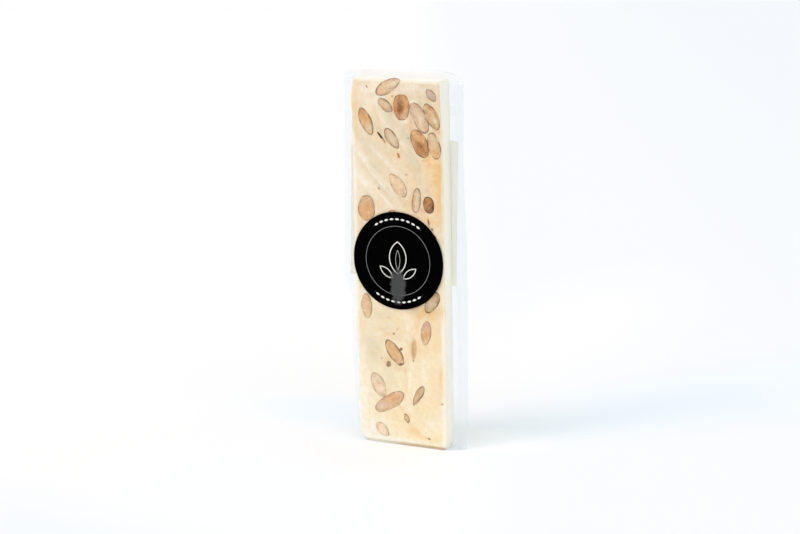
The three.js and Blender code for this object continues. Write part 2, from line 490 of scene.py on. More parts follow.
# %% [markdown]
# ## The nougat
#
# The bar is a box, but no edge of it is quite straight: it was cut with a warm
# blade, so its edges are soft, its faces wander a little and drag marks cross them.
# Its left side stands out by a millimetre or two above the foot, the foot's left
# corner is blunt and the front right corner is drawn in near the top. Two tables of
# heights and one function say so, and all that touches the sides obeys them.

# %% How the bar departs from a box
LEFT_OUT = [
    # height and how far the left side stands out there, in mm
    (0.7, -3.0), (3, -0.7), (7, 0.3), (12, 0.7), (17, 1.1), (23, 0.9), (33, 0.7), (43, 0.7), (48, 0.9),
    (53, 1.1), (58.5, 1.5), (64, 1.8), (72, 1.4), (80, 1.1), (112, 1.2), (122, 2.0), (132, 2.4),
    (150, 2.3), (158, 1.9), (163.5, 1.5), (169, 1.3), (174, 1.8), (179, 1.7), (184, 1.0), (187, 0.4)]
RIGHT_OUT = [(0.7, -0.3), (3, 0.0), (8, 0.1), (20, 0.2), (40, 0.3), (70, 0.2), (187, 0.1)]
SETTLED_FROM = 12 * MM
SETTLED_TO = 32 * MM
CORNER_IN = 1.5 * MM
CORNER_FROM = 156 * MM
CORNER_TO = 182 * MM


def at_height(rows, z):
    """Reads a table of heights and distances, both in mm, with soft steps between its rows."""
    height = z / MM
    for (low, first), (high, second) in zip(rows, rows[1:]):
        if height < high:
            return (first + (second - first) * soften(height, low, high)) * MM
    return rows[-1][1] * MM


def side_out(side, z):
    """How far the left (-1) or right (1) side of the bar stands out at a height."""
    return at_height(RIGHT_OUT if side > 0 else LEFT_OUT, z)


def settle(point):
    """Moves a point of the plain box to where it lies in the real, uneven bar or its bag."""
    side = 1 if point.x > 0 else -1
    reach = abs(point.x)
    share = soften(reach, SETTLED_FROM, EDGE_X) * (1 - soften(reach, EDGE_X, SETTLED_TO))
    out = side_out(side, point.z)
    if side > 0:
        to_front = 0.5 - point.y / (2 * FILM_Y)
        out -= CORNER_IN * min(max(to_front, 0), 1) * soften(point.z, CORNER_FROM, CORNER_TO)
    return Vector((point.x + side * out * share, point.y, point.z))


print("the left side stands out by up to", max(out for height, out in LEFT_OUT), "mm")

# %% [markdown]
# A cube is beveled, cut into small squares and pushed in and out by two sizes of
# relief. The wafer paper takes up the last part of each narrow side, so the box is
# that much narrower. It fills the bag, so its sides all but touch the film.

# %% Nougat block
WAFER = 0.25 * MM
ROUNDING = 0.7 * MM
SIDE_REACH = EDGE_X - 0.12 * MM
SQUARES = ((2, 80), (2, 3), (0, 72), (1, 8))  # axis, and pieces of every edge along it

bpy.ops.object.select_all(action="DESELECT")
nougat_low = Vector((WAFER - SIDE_REACH, BAR_LOW.y, BAR_LOW.z + WAFER))
nougat_high = Vector((SIDE_REACH - WAFER, BAR_HIGH.y, BAR_HIGH.z - WAFER))
bpy.ops.mesh.primitive_cube_add(size=1, location=(nougat_low + nougat_high) / 2)
bpy.context.object.scale = nougat_high - nougat_low
nougat = added("nougat")
with Editing(nougat):
    bpy.ops.mesh.bevel(offset=ROUNDING, segments=3)
for axis, pieces in SQUARES:
    divide(nougat, axis, pieces)
for vertex in nougat.data.vertices:
    vertex.co = settle(vertex.co)
roughen(nougat, size=22 * MM, depth=0.30 * MM, middle=0.75)
roughen(nougat, size=3.5 * MM, depth=0.14 * MM, middle=0.6)
smooth(nougat, 60)
print("the nougat is cut into", len(nougat.data.polygons), "faces")

# %% [markdown]
# The mass was never beaten quite even. Clear honey shows as orange patches, air as
# milky ones, and greyer and warmer batches lie side by side. They are painted onto
# the vertices, a list for each tone: where a patch is, how far it reaches
# along and across, how it lies, and how strong it is.

# %% Patches of tone on the cut face
TONES = {
    "toast": (198, 136, 78), "honey": (240, 186, 96), "peach": (248, 216, 162),
    "smoke": (218, 206, 172), "milk": (255, 249, 236)}
PATCHES = {
    # from the top down: x, z, half length, half width (mm), lean (degrees), strength
    "toast": [
        (-2.2, 174, 5, 1.2, 86, 0.5), (14.5, 172.5, 6, 1.0, -65, 0.45), (-2.6, 171.5, 3.5, 1.2, 80, 0.4),
        (-10.9, 168, 5, 0.8, -60, 0.2), (7.0, 168.0, 4.0, 1.4, -65, 0.6), (7.4, 163.6, 3, 1.6, -65, 0.4),
        (15.0, 163.5, 4, 1.2, -60, 0.5), (22.0, 163, 2.5, 1.6, 0, 0.5), (20.0, 162.2, 3, 0.8, 0, 0.45),
        (7.2, 158.5, 4.5, 1.2, 85, 0.4), (17.2, 150.5, 5, 2.4, -80, 0.65), (20.6, 141.0, 4, 1.6, 88, 0.35),
        (16.3, 133, 4, 1.5, 80, 0.3), (6.8, 128, 3.6, 1.4, 85, 0.35), (12.6, 123.5, 2.6, 2.0, 0, 0.35),
        (12.4, 123.0, 2.4, 2, 0, 0.6), (16.4, 114.5, 7, 0.6, -75, 0.4), (12.5, 71.5, 9, 3.0, 0, 0.5),
        (8.8, 69.5, 3.5, 1.2, -70, 0.3), (-7.0, 66.4, 1.0, 0.6, 40, 0.35), (6.0, 52.8, 5.0, 1.4, 84, 0.55),
        (6.5, 45.6, 0.8, 0.5, 80, 0.2), (1.9, 39.8, 1.6, 0.6, 80, 0.6), (12.1, 26.5, 0.7, 0.6, 0, 0.5)],
    "honey": [
        (-2.8, 178.4, 3, 1.6, 0, 0.5), (-2.6, 174, 5, 1.8, 86, 0.5), (-23.6, 172, 12, 1.8, 90, 0.65),
        (-24.4, 171, 9, 1.2, 90, 0.5), (5.9, 168, 4, 1.8, -70, 0.5), (7.5, 163, 2.5, 2, 0, 0.35),
        (22.0, 163, 2.5, 1.5, 0, 0.6), (17.5, 158, 4, 2.5, 60, 0.35), (22.8, 157, 10, 1.3, 90, 0.2),
        (17.5, 152, 6, 3, 82, 0.5), (17.5, 149, 4.5, 2.0, -70, 0.8), (16.8, 147.5, 4.5, 1.8, -55, 0.9),
        (16.5, 146, 4, 2.5, 60, 0.45), (18.0, 144, 5, 2.2, -70, 0.6), (19.8, 144, 10, 2.2, 88, 0.6),
        (20.8, 139.5, 6, 3.0, 85, 0.95), (22.2, 138, 20, 2.2, 90, 1.0), (9, 134, 9, 4, -50, 0.35),
        (6.4, 128, 4, 1.6, 85, 0.5), (7.5, 128, 3.4, 2.4, 60, 0.5), (22.4, 128, 10, 1.5, 90, 0.8),
        (3.4, 126.0, 6, 1.4, -52, 0.6), (21.6, 126, 10, 2.6, 90, 0.55), (-11.5, 124.0, 3, 1.5, 80, 0.1),
        (13.0, 122.5, 3.2, 2.4, 0, 0.4), (14.5, 119, 5, 3.5, 0, 0.5), (-22, 118, 4, 2, 90, 0.4),
        (18, 117.5, 4, 3, 0, 0.5), (8, 72.5, 4, 2.5, 0, 0.5), (14.5, 71.5, 8, 3.0, 0, 0.8),
        (10.6, 69.8, 4.6, 3.0, 40, 0.75), (16.6, 68.6, 3.6, 1.8, -20, 0.7), (17.0, 67.0, 5, 3, 0, 0.35),
        (-17.5, 66.5, 2.6, 2.0, 0, 0.35), (-12, 66, 8, 3, 0, 0.3), (21.5, 66, 6, 1.6, 85, 0.3),
        (9.0, 64.5, 4.5, 1.4, 80, 0.5), (-2.0, 62.0, 5, 0.5, 55, 0.3), (-20.6, 60, 5, 1.2, 80, 0.2),
        (-7.5, 58, 6, 4, 0, 0.4), (21.8, 54, 8, 0.8, 90, 0.2), (8.0, 52.0, 5, 3.0, 84, 0.55),
        (12.0, 50.0, 4, 3.0, 20, 0.45), (13.5, 47.5, 5, 2, -40, 0.2), (2.5, 46, 7, 2.5, 88, 0.3),
        (-7.8, 43.5, 3.4, 3, 0, 0.75), (-2.5, 41, 3, 2.5, 0, 0.4), (21.6, 38.5, 6, 0.9, 88, 0.9),
        (21.5, 33, 5, 1.6, 80, 0.35), (2.5, 32, 10, 2.2, 88, 0.35), (-8.5, 27.6, 3, 1.6, 30, 0.4),
        (6.0, 21.5, 3, 2.6, 0, 0.3), (-1.4, 20.2, 3.6, 1.2, -52, 0.5), (-4.0, 17.0, 3.5, 1.6, -30, 0.25),
        (-5, 16.5, 5, 2, 0, 0.2), (2.5, 16.4, 3, 2, 0, 0.6), (3.0, 13.0, 8, 1.6, -55, 0.25),
        (6.6, 7.8, 4.2, 2.4, -20, 0.75), (12.6, 5.2, 3.4, 0.9, -5, 0.7)],
    "peach": [
        (-12.5, 183.5, 3, 2, 0, 0.4), (-2.5, 178.5, 3.5, 2.4, 0, 0.6), (-23.5, 176, 14, 2.4, 90, 0.4),
        (-10, 161, 7, 5, -50, 0.6), (-5, 152, 5, 3, 0, 0.35), (-1.0, 150, 8, 3.4, -40, 0.5),
        (17.5, 150, 9, 3, -75, 0.5), (14.0, 146, 9, 2.4, -58, 0.5), (16.5, 138, 12, 3, -65, 0.5),
        (-12.5, 123, 3, 2, 0, 0.4), (-22, 118, 4, 2, 90, 0.5), (8, 118, 9, 4, -45, 0.3),
        (-22.6, 62, 9, 2.2, 90, 0.6), (-12, 60, 8, 3, -10, 0.4), (6, 60, 5, 3, 80, 0.3),
        (22.5, 60, 20, 2.0, 90, 0.3), (19.5, 57, 12, 4, 85, 0.7), (13, 53, 6, 4, 0, 0.5),
        (9.0, 40, 18, 4, 82, 0.3), (18, 30, 18, 5, 82, 0.5), (14, 22, 12, 5, 70, 0.4),
        (2.0, 10, 14, 5, -30, 0.35)],
    "smoke": [
        (16, 184.5, 7, 2, -10, 0.5), (8, 183, 9, 3, 0, 0.25), (8, 178.4, 4, 3, 0, 0.4),
        (12, 176, 6, 3, 60, 0.5), (-4, 168.5, 8, 4, -60, 0.75), (13, 165, 4, 3, -60, 0.4),
        (-9.5, 162.5, 7, 3.6, -50, 0.7), (4, 160, 9, 3.6, -62, 0.8), (-20, 158, 5, 3, 60, 0.4),
        (-16, 154, 9, 4, -40, 0.6), (-8, 153, 6, 4, -50, 0.4), (7.5, 149, 10, 2.8, -58, 0.8),
        (-14, 143, 7, 4.5, -10, 0.7), (11, 138, 9, 2.4, -60, 0.5), (-9, 133, 12, 2.0, -48, 0.6),
        (-16, 128, 8, 2.0, -48, 0.5), (1, 128, 8, 2, -50, 0.4), (7.5, 71.5, 4, 2.5, 0, 0.6),
        (-12, 68, 8, 5, 0, 0.4), (-18, 66, 3.4, 3, 0, 0.4), (-9, 60, 10, 5, 0, 0.4), (-2, 57, 6, 4, 0, 0.3),
        (-16, 49, 12, 7, -80, 0.7), (-3, 42, 6, 3.5, 0, 0.4), (-7, 37, 9, 5, -70, 0.45)],
    "milk": [
        (8.5, 184.0, 7, 2.0, 0, 0.55), (-15, 183, 6, 3, 10, 0.5), (-12, 176, 7, 2.2, 20, 0.4),
        (8.2, 176.0, 2.4, 2.2, 0, 0.7), (3.0, 168.6, 3.4, 2.4, 0, 0.9), (22.2, 168, 6, 1.4, 88, 0.6),
        (-8, 167, 5, 1.5, -60, 0.4), (-19, 160, 8, 0.8, -60, 0.3), (3, 155, 7, 1.0, -48, 0.35),
        (-19.5, 147, 8, 1.6, -50, 0.7), (-8, 147, 12, 1.0, -46, 0.5), (-13, 141, 12, 0.6, -44, 0.5),
        (-12, 137.5, 10, 0.9, -46, 0.6), (-19, 135, 6, 2.4, -48, 0.7), (-9, 128.5, 9, 0.9, -46, 0.6),
        (11, 110, 10, 2, 80, 0.3), (-19, 88, 10, 2.4, 85, 0.3), (2.5, 66, 8, 0.8, -80, 0.4),
        (-9, 59, 6, 0.8, 20, 0.4), (12, 43, 8, 1.2, 85, 0.4), (-22, 42, 10, 1.8, 88, 0.6),
        (3.6, 31, 12, 1.2, 82, 0.6), (5, 24, 9, 3, 75, 0.4), (-2.4, 22.5, 2.0, 1.2, -40, 0.5),
        (-21.5, 19, 18, 3.2, 88, 0.7), (16, 12, 9, 4, 50, 0.4), (-17, 8, 8, 6, 20, 0.7),
        (-2.5, 6.5, 3, 2, 0, 0.5), (2, 2.8, 22, 1.0, -1, 0.8)],
}


PATCH_FALL = 1.4
PATCH_REACH = 2


def patch_at(point, patches):
    """How strongly the patches of one tone show at a place of the nougat."""
    shown = 0
    for x, z, length, width, lean, strength in patches:
        across = Vector((point.x / MM - x, point.z / MM - z))
        if across.length > PATCH_REACH * length:
            continue
        across.rotate(Matrix.Rotation(-math.radians(lean), 2))
        reach = (across.x / length) ** 2 + (across.y / width) ** 2
        shown = max(shown, strength * math.exp(-reach * PATCH_FALL))
    return shown


for tone, patches in PATCHES.items():
    paint(nougat, tone, lambda point, patches=patches: patch_at(point, patches))
print(sum(len(patches) for patches in PATCHES.values()), "patches painted")

# %% [markdown]
# The colour of nougat is a warm cream, lighter and yellower towards the foot here and greyer
# towards the top, partly the mass's own tone and partly painted light for the brighter foot.
# It is drawn into faint streaks where the mass was folded, which run down to the right.
# A second noise bends the streaks, since nothing that was poured runs straight. The painted
# patches come on top, and a fine grain over all of it.

# %% Colour of the mass
STREAK_FALL = math.radians(47)
STREAK_LENGTH = 22
STREAK_WIDTH = 2.6
STREAK_DEPTH = 6
BAND_LENGTH = 40
BAND_WIDTH = 8
BAND_DEPTH = 9

nougat_finish, place = new_finish("nougat")
tree = nougat_finish.node_tree
x, y, z = place.parts()
along = place.dot((math.cos(STREAK_FALL), 0, -math.sin(STREAK_FALL)))
across = place.dot((math.sin(STREAK_FALL), 0, math.cos(STREAK_FALL)))
wander = place.speckle(26, detail=1, seed=3) * 16 + place.speckle(6, detail=1, seed=6) * 2.4
drawn = together(along / STREAK_LENGTH, y / STREAK_DEPTH, (across + wander) / STREAK_WIDTH)
streaks = drawn.speckle(1, detail=4, seed=1).rise(0.30, 0.70)
broad = together(along / BAND_LENGTH, y / BAND_DEPTH, (across + wander) / BAND_WIDTH)
bands = broad.speckle(1, detail=2, seed=11).rise(0.35, 0.65)
clouds = place.speckle(7, detail=4, seed=2).rise(0.32, 0.68)
mottle = place.speckle(2.2, detail=3, seed=12).rise(0.34, 0.66)
crumbs = place.speckle(0.7, detail=2, seed=4)

# partly painted light: lighter and yellower low down, darker and greyer high up
high_up = z.rise(30, 130)
to_side = x.rise(-14, 0)
cream = mix(high_up, mix(to_side, colour(255, 243, 208), colour(255, 239, 195)),
            mix(to_side, colour(238, 219, 186), colour(231, 206, 170)))
cream = mix((1 - streaks) * 0.45, cream, colour(232, 214, 178))
cream = mix(bands * 0.40, cream, colour(252, 242, 220))
cream = mix(clouds * 0.20, cream, colour(244, 222, 180))
for tone, values in TONES.items():
    share = read(tree, tone) * (0.55 + 0.5 * streaks + 0.4 * mottle)
    cream = mix(share.least(1), cream, colour(*values))
cream = mix(mottle * 0.22, cream, colour(254, 246, 228))
cream = mix((1 - mottle) * 0.14, cream, colour(228, 200, 150))
cream = mix(crumbs.rise(0.58, 0.74) * 0.35, cream, colour(216, 190, 146))
cream = mix((1 - crumbs).rise(0.60, 0.76) * 0.30, cream, colour(255, 247, 230))
print("the mass has streaks", STREAK_WIDTH, "mm wide")

# %% [markdown]
# The outermost millimetres are whiter, where the mass has dried against the wafer,
# though honey has come through at the top left and low on the right. The left edge
# lies in shade beside the label, and along the foot a painted shadow darkens the bottom
# edge, browner to the right. Sugar glass lets light in a little way, so the surface
# scatters light below itself, and it has tiny pits.

# %% Colour of the rim, and nougat finish
edge = (SIDE_REACH / MM - abs(x)).least(z - BAR_LOW.z / MM)
dried = (edge + 2.4 * place.speckle(5, detail=2, seed=5)).rise(2.8, 0.5)
honeyed_left = x.rise(-20, -23) * z.rise(156, 163) * z.rise(186, 181)
cream = mix(dried * (0.75 - 0.6 * honeyed_left), cream, colour(255, 250, 236))
shaded_left = x.rise(-24.7, -25.5) * z.rise(92, 102) * z.rise(160, 152)
cream = mix(shaded_left * 0.6, cream, colour(224, 212, 188))
dried_foot = z.rise(5.5, 2.0) * x.rise(8, -12) * 0.6
cream = mix(dried_foot, cream, colour(255, 252, 240))
dried_top = z.rise(185.2, 187.2) * 0.65
cream = mix(dried_top, cream, colour(255, 248, 232))
honeyed_right = z.rise(24, 30) * z.rise(50, 44)
dried_right = x.rise(20.8, 23.4) * z.rise(76, 60) * (0.65 - 0.45 * honeyed_right)
cream = mix(dried_right, cream, colour(255, 249, 236))
dried_corner = x.rise(-17, -22) * z.rise(10, 3) * 0.5
cream = mix(dried_corner, cream, colour(255, 252, 240))
# painted shadow along the foot, darker and browner to the right
painted_foot_shadow = z.rise(2.0, 1.0) * x.rise(-24, -12)
cream = mix(painted_foot_shadow * 0.5, cream, mix(x.rise(-10, 12), colour(214, 202, 176), colour(214, 180, 138)))
pits = (1 - node(tree, "ShaderNodeTexVoronoi", values={"Vector": place, "Scale": 0.55},
                 output="Distance").rise(0.05, 0.28)) * crumbs.rise(0.45, 0.6)
relief = streaks * 0.35 + crumbs * 0.5 - pits * 0.9
cover(nougat_finish, node(tree, "ShaderNodeBsdfPrincipled", values={
    "Base Color": cream, "Roughness": 0.52, "Normal": bumps(relief, 0.12 * MM),
    "Subsurface Weight": 0.3, "Subsurface Radius": (1.0, 0.8, 0.55), "Subsurface Scale": 1.0 * MM,
    "Specular IOR Level": 0.3}))
nougat.data.materials.append(nougat_finish)
belongs(nougat, "nougat", "bag")

# %% [markdown]
# ## The wafer paper
#
# Sheets of edible wafer line the mould, and stay on the narrow sides of each
# slice. They are thin boxes laid on the nougat's four narrow sides, a little
# narrower than the sides, since the edges of the cut are soft and cover them.


# %% Wafer sheets
def wafer_sheet(name, low, high, divisions):
    """A thin sheet between two corners, cut into squares and lightly buckled."""
    bpy.ops.object.select_all(action="DESELECT")
    bpy.ops.mesh.primitive_cube_add(size=1, location=(low + high) / 2)
    bpy.context.object.scale = high - low
    sheet = added(name)
    for axis, pieces in enumerate(divisions):
        if pieces > 1:
            divide(sheet, axis, pieces)
    modify(sheet, "BEVEL", width=0.08 * MM, segments=1)
    for vertex in sheet.data.vertices:
        vertex.co = settle(vertex.co)
    roughen(sheet, size=9 * MM, depth=0.25 * MM, middle=0.6)
    roughen(sheet, size=1.6 * MM, depth=0.06 * MM)
    return sheet


SUNK = 0.15 * MM
FOOT_BACK = -0.35 * MM
FOOT_DOWN = 0.68 * MM
sheet_low = Vector((-SIDE_REACH, BAR_LOW.y + ROUNDING, BAR_LOW.z))
sheet_high = Vector((SIDE_REACH, BAR_HIGH.y - ROUNDING, BAR_HIGH.z))
SHEETS = {
    # which ends of the box the sheet lies between, and how it is divided
    "left": (sheet_low + Vector((0, 0, ROUNDING)),
             Vector((nougat_low.x + SUNK, sheet_high.y, sheet_high.z - ROUNDING)), (1, 8, 90)),
    "right": (Vector((nougat_high.x - SUNK, sheet_low.y, sheet_low.z + ROUNDING)),
              sheet_high - Vector((0, 0, ROUNDING)), (1, 8, 90)),
    "top": (Vector((sheet_low.x + ROUNDING, sheet_low.y, nougat_high.z - SUNK)),
            sheet_high - Vector((ROUNDING, 0, 0)), (40, 8, 1)),
    "foot": (sheet_low + Vector((ROUNDING, FOOT_BACK, -FOOT_DOWN)),
             Vector((sheet_high.x - ROUNDING, sheet_high.y, nougat_low.z + SUNK)), (40, 8, 1)),
}
sheets = [wafer_sheet("wafer_" + side, *sheet) for side, sheet in SHEETS.items()]
only(*sheets)
bpy.ops.object.join()
wafer = sheets[-1]
wafer.name = wafer.data.name = "wafer"
smooth(wafer, 50)
print("wafer sheets:", ", ".join(SHEETS))

# %% [markdown]
# Wafer is starch: dry, dull and nearly white, in places soaked a little yellow by the
# mass behind it. Its surface is faintly fibrous. A painted highlight whitens its top edge,
# painted shade darkens a strip along its back edge, and a painted shadow darkens it along
# the front of the foot, browner to the right.

# %% Wafer finish
wafer_finish, place = new_finish("wafer_paper")
tree = wafer_finish.node_tree
mottle = place.speckle(5, detail=3, seed=7).rise(0.35, 0.7)
fibre = place.speckle(0.5, detail=2, seed=8)
pale = mix(mottle, colour(255, 245, 227), colour(255, 248, 234))
pale = mix(place.speckle(3, detail=3, seed=9).rise(0.52, 0.72) * 0.5, pale, colour(252, 236, 208))
x, y, z = place.parts()
pale = mix(z.rise(70, 170) * (1 - z.rise(185, 187)), pale, colour(253, 244, 229))
# painted highlight: the top edge whitened for the light it catches
pale = mix(z.rise(186.5, 187.3) * 0.8, pale, colour(255, 252, 245))
# painted shade: a darker strip along the back edge, under the film's fold
pale = mix(y.rise(2.4, 4.2) * 0.5, pale, colour(238, 226, 194))
# painted shadow along the front of the foot, browner to the right
browning_and_shade = z.rise(1.5, 0.9) * (0 - y).rise(3.0, 4.4)
pale = mix(browning_and_shade, pale, mix(x.rise(-14, 8), colour(226, 219, 200), colour(206, 180, 144)))
cover(wafer_finish, node(tree, "ShaderNodeBsdfPrincipled", values={
    "Base Color": pale, "Roughness": 0.75, "Normal": bumps(fibre, 0.08 * MM),
    "Subsurface Weight": 0.2, "Subsurface Scale": 0.8 * MM, "Specular IOR Level": 0.25}))
wafer.data.materials.append(wafer_finish)
belongs(wafer, "wafer", "bag")

# %% [markdown]
# ## Almonds
#
# The blade goes through whole roasted almonds, so what shows is their cream to
# brown flesh inside a thin dark skin. One half almond is modelled: a ball, cut flat
# and with its cut face a little crowned. Each almond of the bar is a copy of it,
# stretched and narrowed in its own way. Its UV map is drawn now, while it is still
# a perfect ball: the cut face fills a circle, so a finish can tell for every almond,
# whatever its shape, how far a point lies from the rim.

# %% Half an almond
CROWN = 0.006
INSETS = (0.03, 0.05, 0.06, 0.06, 0.06, 0.06, 0.06)
FLESH = 1

bpy.ops.object.select_all(action="DESELECT")
bpy.ops.mesh.primitive_uv_sphere_add(segments=32, ring_count=16, radius=0.5,
                                     rotation=(0, math.pi / 2, 0))
half_almond = added("half_almond")
skin_finish, skin_place = new_finish("almond_skin")
flesh_finish, flesh_place = new_finish("almond_flesh")
half_almond.data.materials.append(skin_finish)
half_almond.data.materials.append(flesh_finish)
half_almond.active_material_index = FLESH
with Editing(half_almond) as edit:
    bpy.ops.mesh.bisect(plane_co=(0, 0, 0), plane_no=(0, 1, 0), clear_inner=True, use_fill=True)
    edit.pick("FACE", lambda face: len(face.verts) > 4)
    bpy.ops.object.material_slot_assign()
    for step in INSETS:
        bpy.ops.mesh.inset(thickness=step)
        bpy.ops.transform.translate(value=(0, -CROWN, 0))
circle = half_almond.data.uv_layers[0]
circle.name = "UVMap"
for loop in half_almond.data.loops:
    point = half_almond.data.vertices[loop.vertex_index].co
    circle.data[loop.index].uv = (point.x + 0.5, point.z + 0.5)
print("half an almond has", len(half_almond.data.polygons), "faces")

# %% [markdown]
# The almonds of the front are listed one by one: where their middles are, how long
# and wide they are, how they lean, how much their right end narrows, how full their
# outline is (2 is an oval, less is pointed, more is square), how dark and wide their
# skin shows, and which roast they have. Crumbs are smaller and have no skin.

# %% Where the almonds lie
ROASTS = {
    # flesh, other flesh, heart, strength of the heart
    "milky": ((250, 230, 198), (240, 216, 182), (255, 236, 204), 0.4),
    "pale": ((244, 221, 190), (236, 208, 170), (240, 208, 166), 0.4),
    "cream": ((241, 216, 178), (230, 198, 158), (238, 202, 156), 0.4),
    "sand": ((229, 204, 166), (212, 182, 144), (226, 198, 158), 0.4),
    "tan": ((232, 204, 160), (222, 188, 144), (232, 194, 146), 0.45),
    "amber": ((223, 180, 132), (230, 190, 146), (212, 160, 108), 0.5),
    "orange": ((236, 205, 156), (222, 184, 134), (230, 180, 118), 0.55),
    "toasted": ((230, 184, 126), (210, 158, 100), (158, 94, 40), 0.9),
    "brown": ((226, 174, 116), (206, 146, 92), (150, 82, 34), 1.0),
    "dark": ((196, 146, 98), (146, 98, 60), (142, 90, 46), 0.7),
    "olive": ((230, 202, 156), (200, 164, 120), (222, 186, 134), 0.5),
    "grey": ((220, 192, 154), (204, 174, 138), (228, 200, 160), 0.5),
    "husk": ((202, 176, 131), (185, 158, 114), (210, 184, 138), 0.4),
    "mauve": ((211, 190, 168), (196, 171, 148), (216, 196, 172), 0.4),
    "pink": ((236, 206, 170), (226, 188, 148), (232, 188, 138), 0.5),
    "crumb": ((150, 112, 76), (176, 140, 100), (120, 80, 48), 0.8),
    "pale crumb": ((206, 184, 150), (216, 194, 160), (186, 160, 126), 0.6),
    "sliver": ((236, 200, 150), (218, 178, 126), (200, 156, 104), 0.8),
    "rust": ((206, 128, 78), (214, 144, 100), (186, 96, 54), 0.6),
    "black": ((40, 26, 16), (60, 38, 22), (24, 14, 8), 0.8),
}
FRONT_ALMONDS = [
    # x, z, length, width (mm), lean (degrees), narrowing, fullness, skin, roast
    (-4.9, 184.0, 15.4, 6.4, 30, 0.16, 1.9, 0.75, "cream"),
    (-6.6, 174.6, 9.2, 5.0, -38, 0.05, 2.1, 1.0, "sand"),
    (2.3, 174.0, 12.7, 8.3, -88, 0.1, 2.9, 0.7, "brown"),
    (11.9, 169.3, 16.4, 7.8, -62, 0.0, 2.2, 0.75, "sand"),
    (18.6, 170.2, 14.2, 6.8, -62, 0.0, 2.0, 0.8, "olive"),
    (18.5, 180.6, 7.2, 4.4, -50, 0.05, 1.9, 0.55, "mauve"),
    (-17.4, 165.9, 14.6, 6.2, -66, 0.04, 1.9, 0.8, "orange"),
    (-3.4, 158.3, 11.8, 5.8, -55, 0.12, 1.8, 0.7, "sand"),
    (11.9, 156.5, 15.0, 8.2, -65, 0.0, 2.2, 0.9, "toasted"),
    (19.6, 155.8, 13.6, 6.6, -76, 0.0, 2.2, 0.75, "tan"),
    (-0.4, 134.9, 13.8, 6.8, -52, -0.12, 1.75, 0.6, "cream"),
    (9.6, 128.0, 12.6, 4.8, 84, 0.08, 2.3, 0.55, "sand"),
    (16.3, 126.1, 8.4, 6.0, -82, 0.0, 2.3, 1.0, "dark"),
    (-18.0, 122.2, 13.0, 9.2, 88, 0.0, 2.3, 0.65, "amber"),
    (-19.2, 71.5, 13.0, 6.0, -88, 0.05, 2.1, 0.55, "tan"),
    (17.2, 76.7, 12.6, 6.8, 60, -0.1, 2.0, 0.9, "husk"),
    (13.8, 60.6, 12.8, 5.6, 84, 0.0, 1.9, 0.45, "pink"),
    (-4.1, 48.5, 15.4, 6.6, -53, -0.05, 2.1, 0.9, "orange"),
    (-13.5, 30.4, 13.6, 7.4, -64, 0.05, 1.9, 0.45, "pale"),
    (-7.4, 22.2, 19.0, 7.2, 33, -0.05, 2.4, 0.5, "pink"),
    (8.9, 27.2, 12.2, 4.2, 61, -0.25, 1.7, 0.75, "grey"),
    (2.2, 14.5, 5.0, 2.8, -68, 0.05, 1.8, 0.55, "tan"),
    (-11.7, 7.2, 9.2, 5.4, -42, 0.15, 1.75, 0.4, "milky"),
    (-4.0, 120.8, 4.6, 3.0, 20, 0.1, 1.8, 0.9, "grey"),
]
FRONT_CRUMBS = [
    # x, z, length, width (mm), lean (degrees), roast
    (-9.6, 159.2, 5.0, 1.1, -49, "black"), (-7.4, 156.6, 2.0, 0.7, -49, "rust"),
    (0.2, 149.9, 2.8, 1.2, -72, "rust"), (5.7, 158.9, 1.2, 1.0, 0, "pale crumb"),
    (-16.6, 183.5, 1.6, 0.8, -70, "rust"), (16.1, 117.4, 3.2, 0.9, -78, "crumb"),
    (18.0, 114.0, 1.6, 1.0, -40, "crumb"), (-11.0, 132.7, 1.5, 1.2, 0, "pale crumb"),
    (-0.3, 50.8, 1.9, 1.6, 30, "crumb"), (-7.6, 42.1, 3.1, 2.5, 70, "crumb"),
    (-0.6, 43.0, 1.5, 1.0, 10, "crumb"), (-11.5, 44.9, 1.2, 0.9, 0, "pale crumb"),
    (-4.2, 58.4, 1.1, 0.9, 20, "crumb"), (-2.2, 61.0, 0.6, 0.5, 0, "crumb"),
    (-0.9, 61.6, 0.5, 0.5, 0, "pale crumb"), (22.1, 24.3, 1.0, 0.8, 0, "rust"),
    (14.6, 5.2, 1.4, 0.9, -20, "crumb"), (-3.4, 184.4, 0.9, 0.6, 40, "rust"),
    (-2.6, 183.6, 0.8, 0.5, 0, "rust"), (-4.4, 183.2, 0.7, 0.5, 20, "rust"),
    (-1.8, 184.9, 0.7, 0.5, 0, "rust"), (-5.4, 184.6, 0.5, 0.4, 0, "rust"),
    (-3.4, 182.3, 0.7, 0.4, 0, "rust"), (-6.2, 182.6, 0.5, 0.4, 0, "rust"),
    (13.5, 148.0, 0.8, 0.6, 0, "pale crumb"), (4.2, 140.5, 0.9, 0.8, 0, "pale crumb"),
    (15.8, 152.6, 0.9, 0.7, 0, "crumb"), (19.6, 110.5, 1.6, 0.7, -50, "crumb"),
    (6.8, 51.4, 10.6, 2.3, 86, "sliver"), (-2.6, 179.4, 1.0, 0.5, 10, "rust"),
    (6.5, 45.4, 0.9, 0.6, 80, "crumb"), (18.6, 124.9, 2.3, 0.8, 82, "black"),
]
print(len(FRONT_ALMONDS), "almonds and", len(FRONT_CRUMBS), "crumbs in front")

# %% [markdown]
# The back face was cut by the same blade, so it has almonds too. A new place is drawn
# for each until one is found that lies inside the edges and clear of the others. The
# draw has a seed, so the bar comes out the same each time. All lengths are in mm.

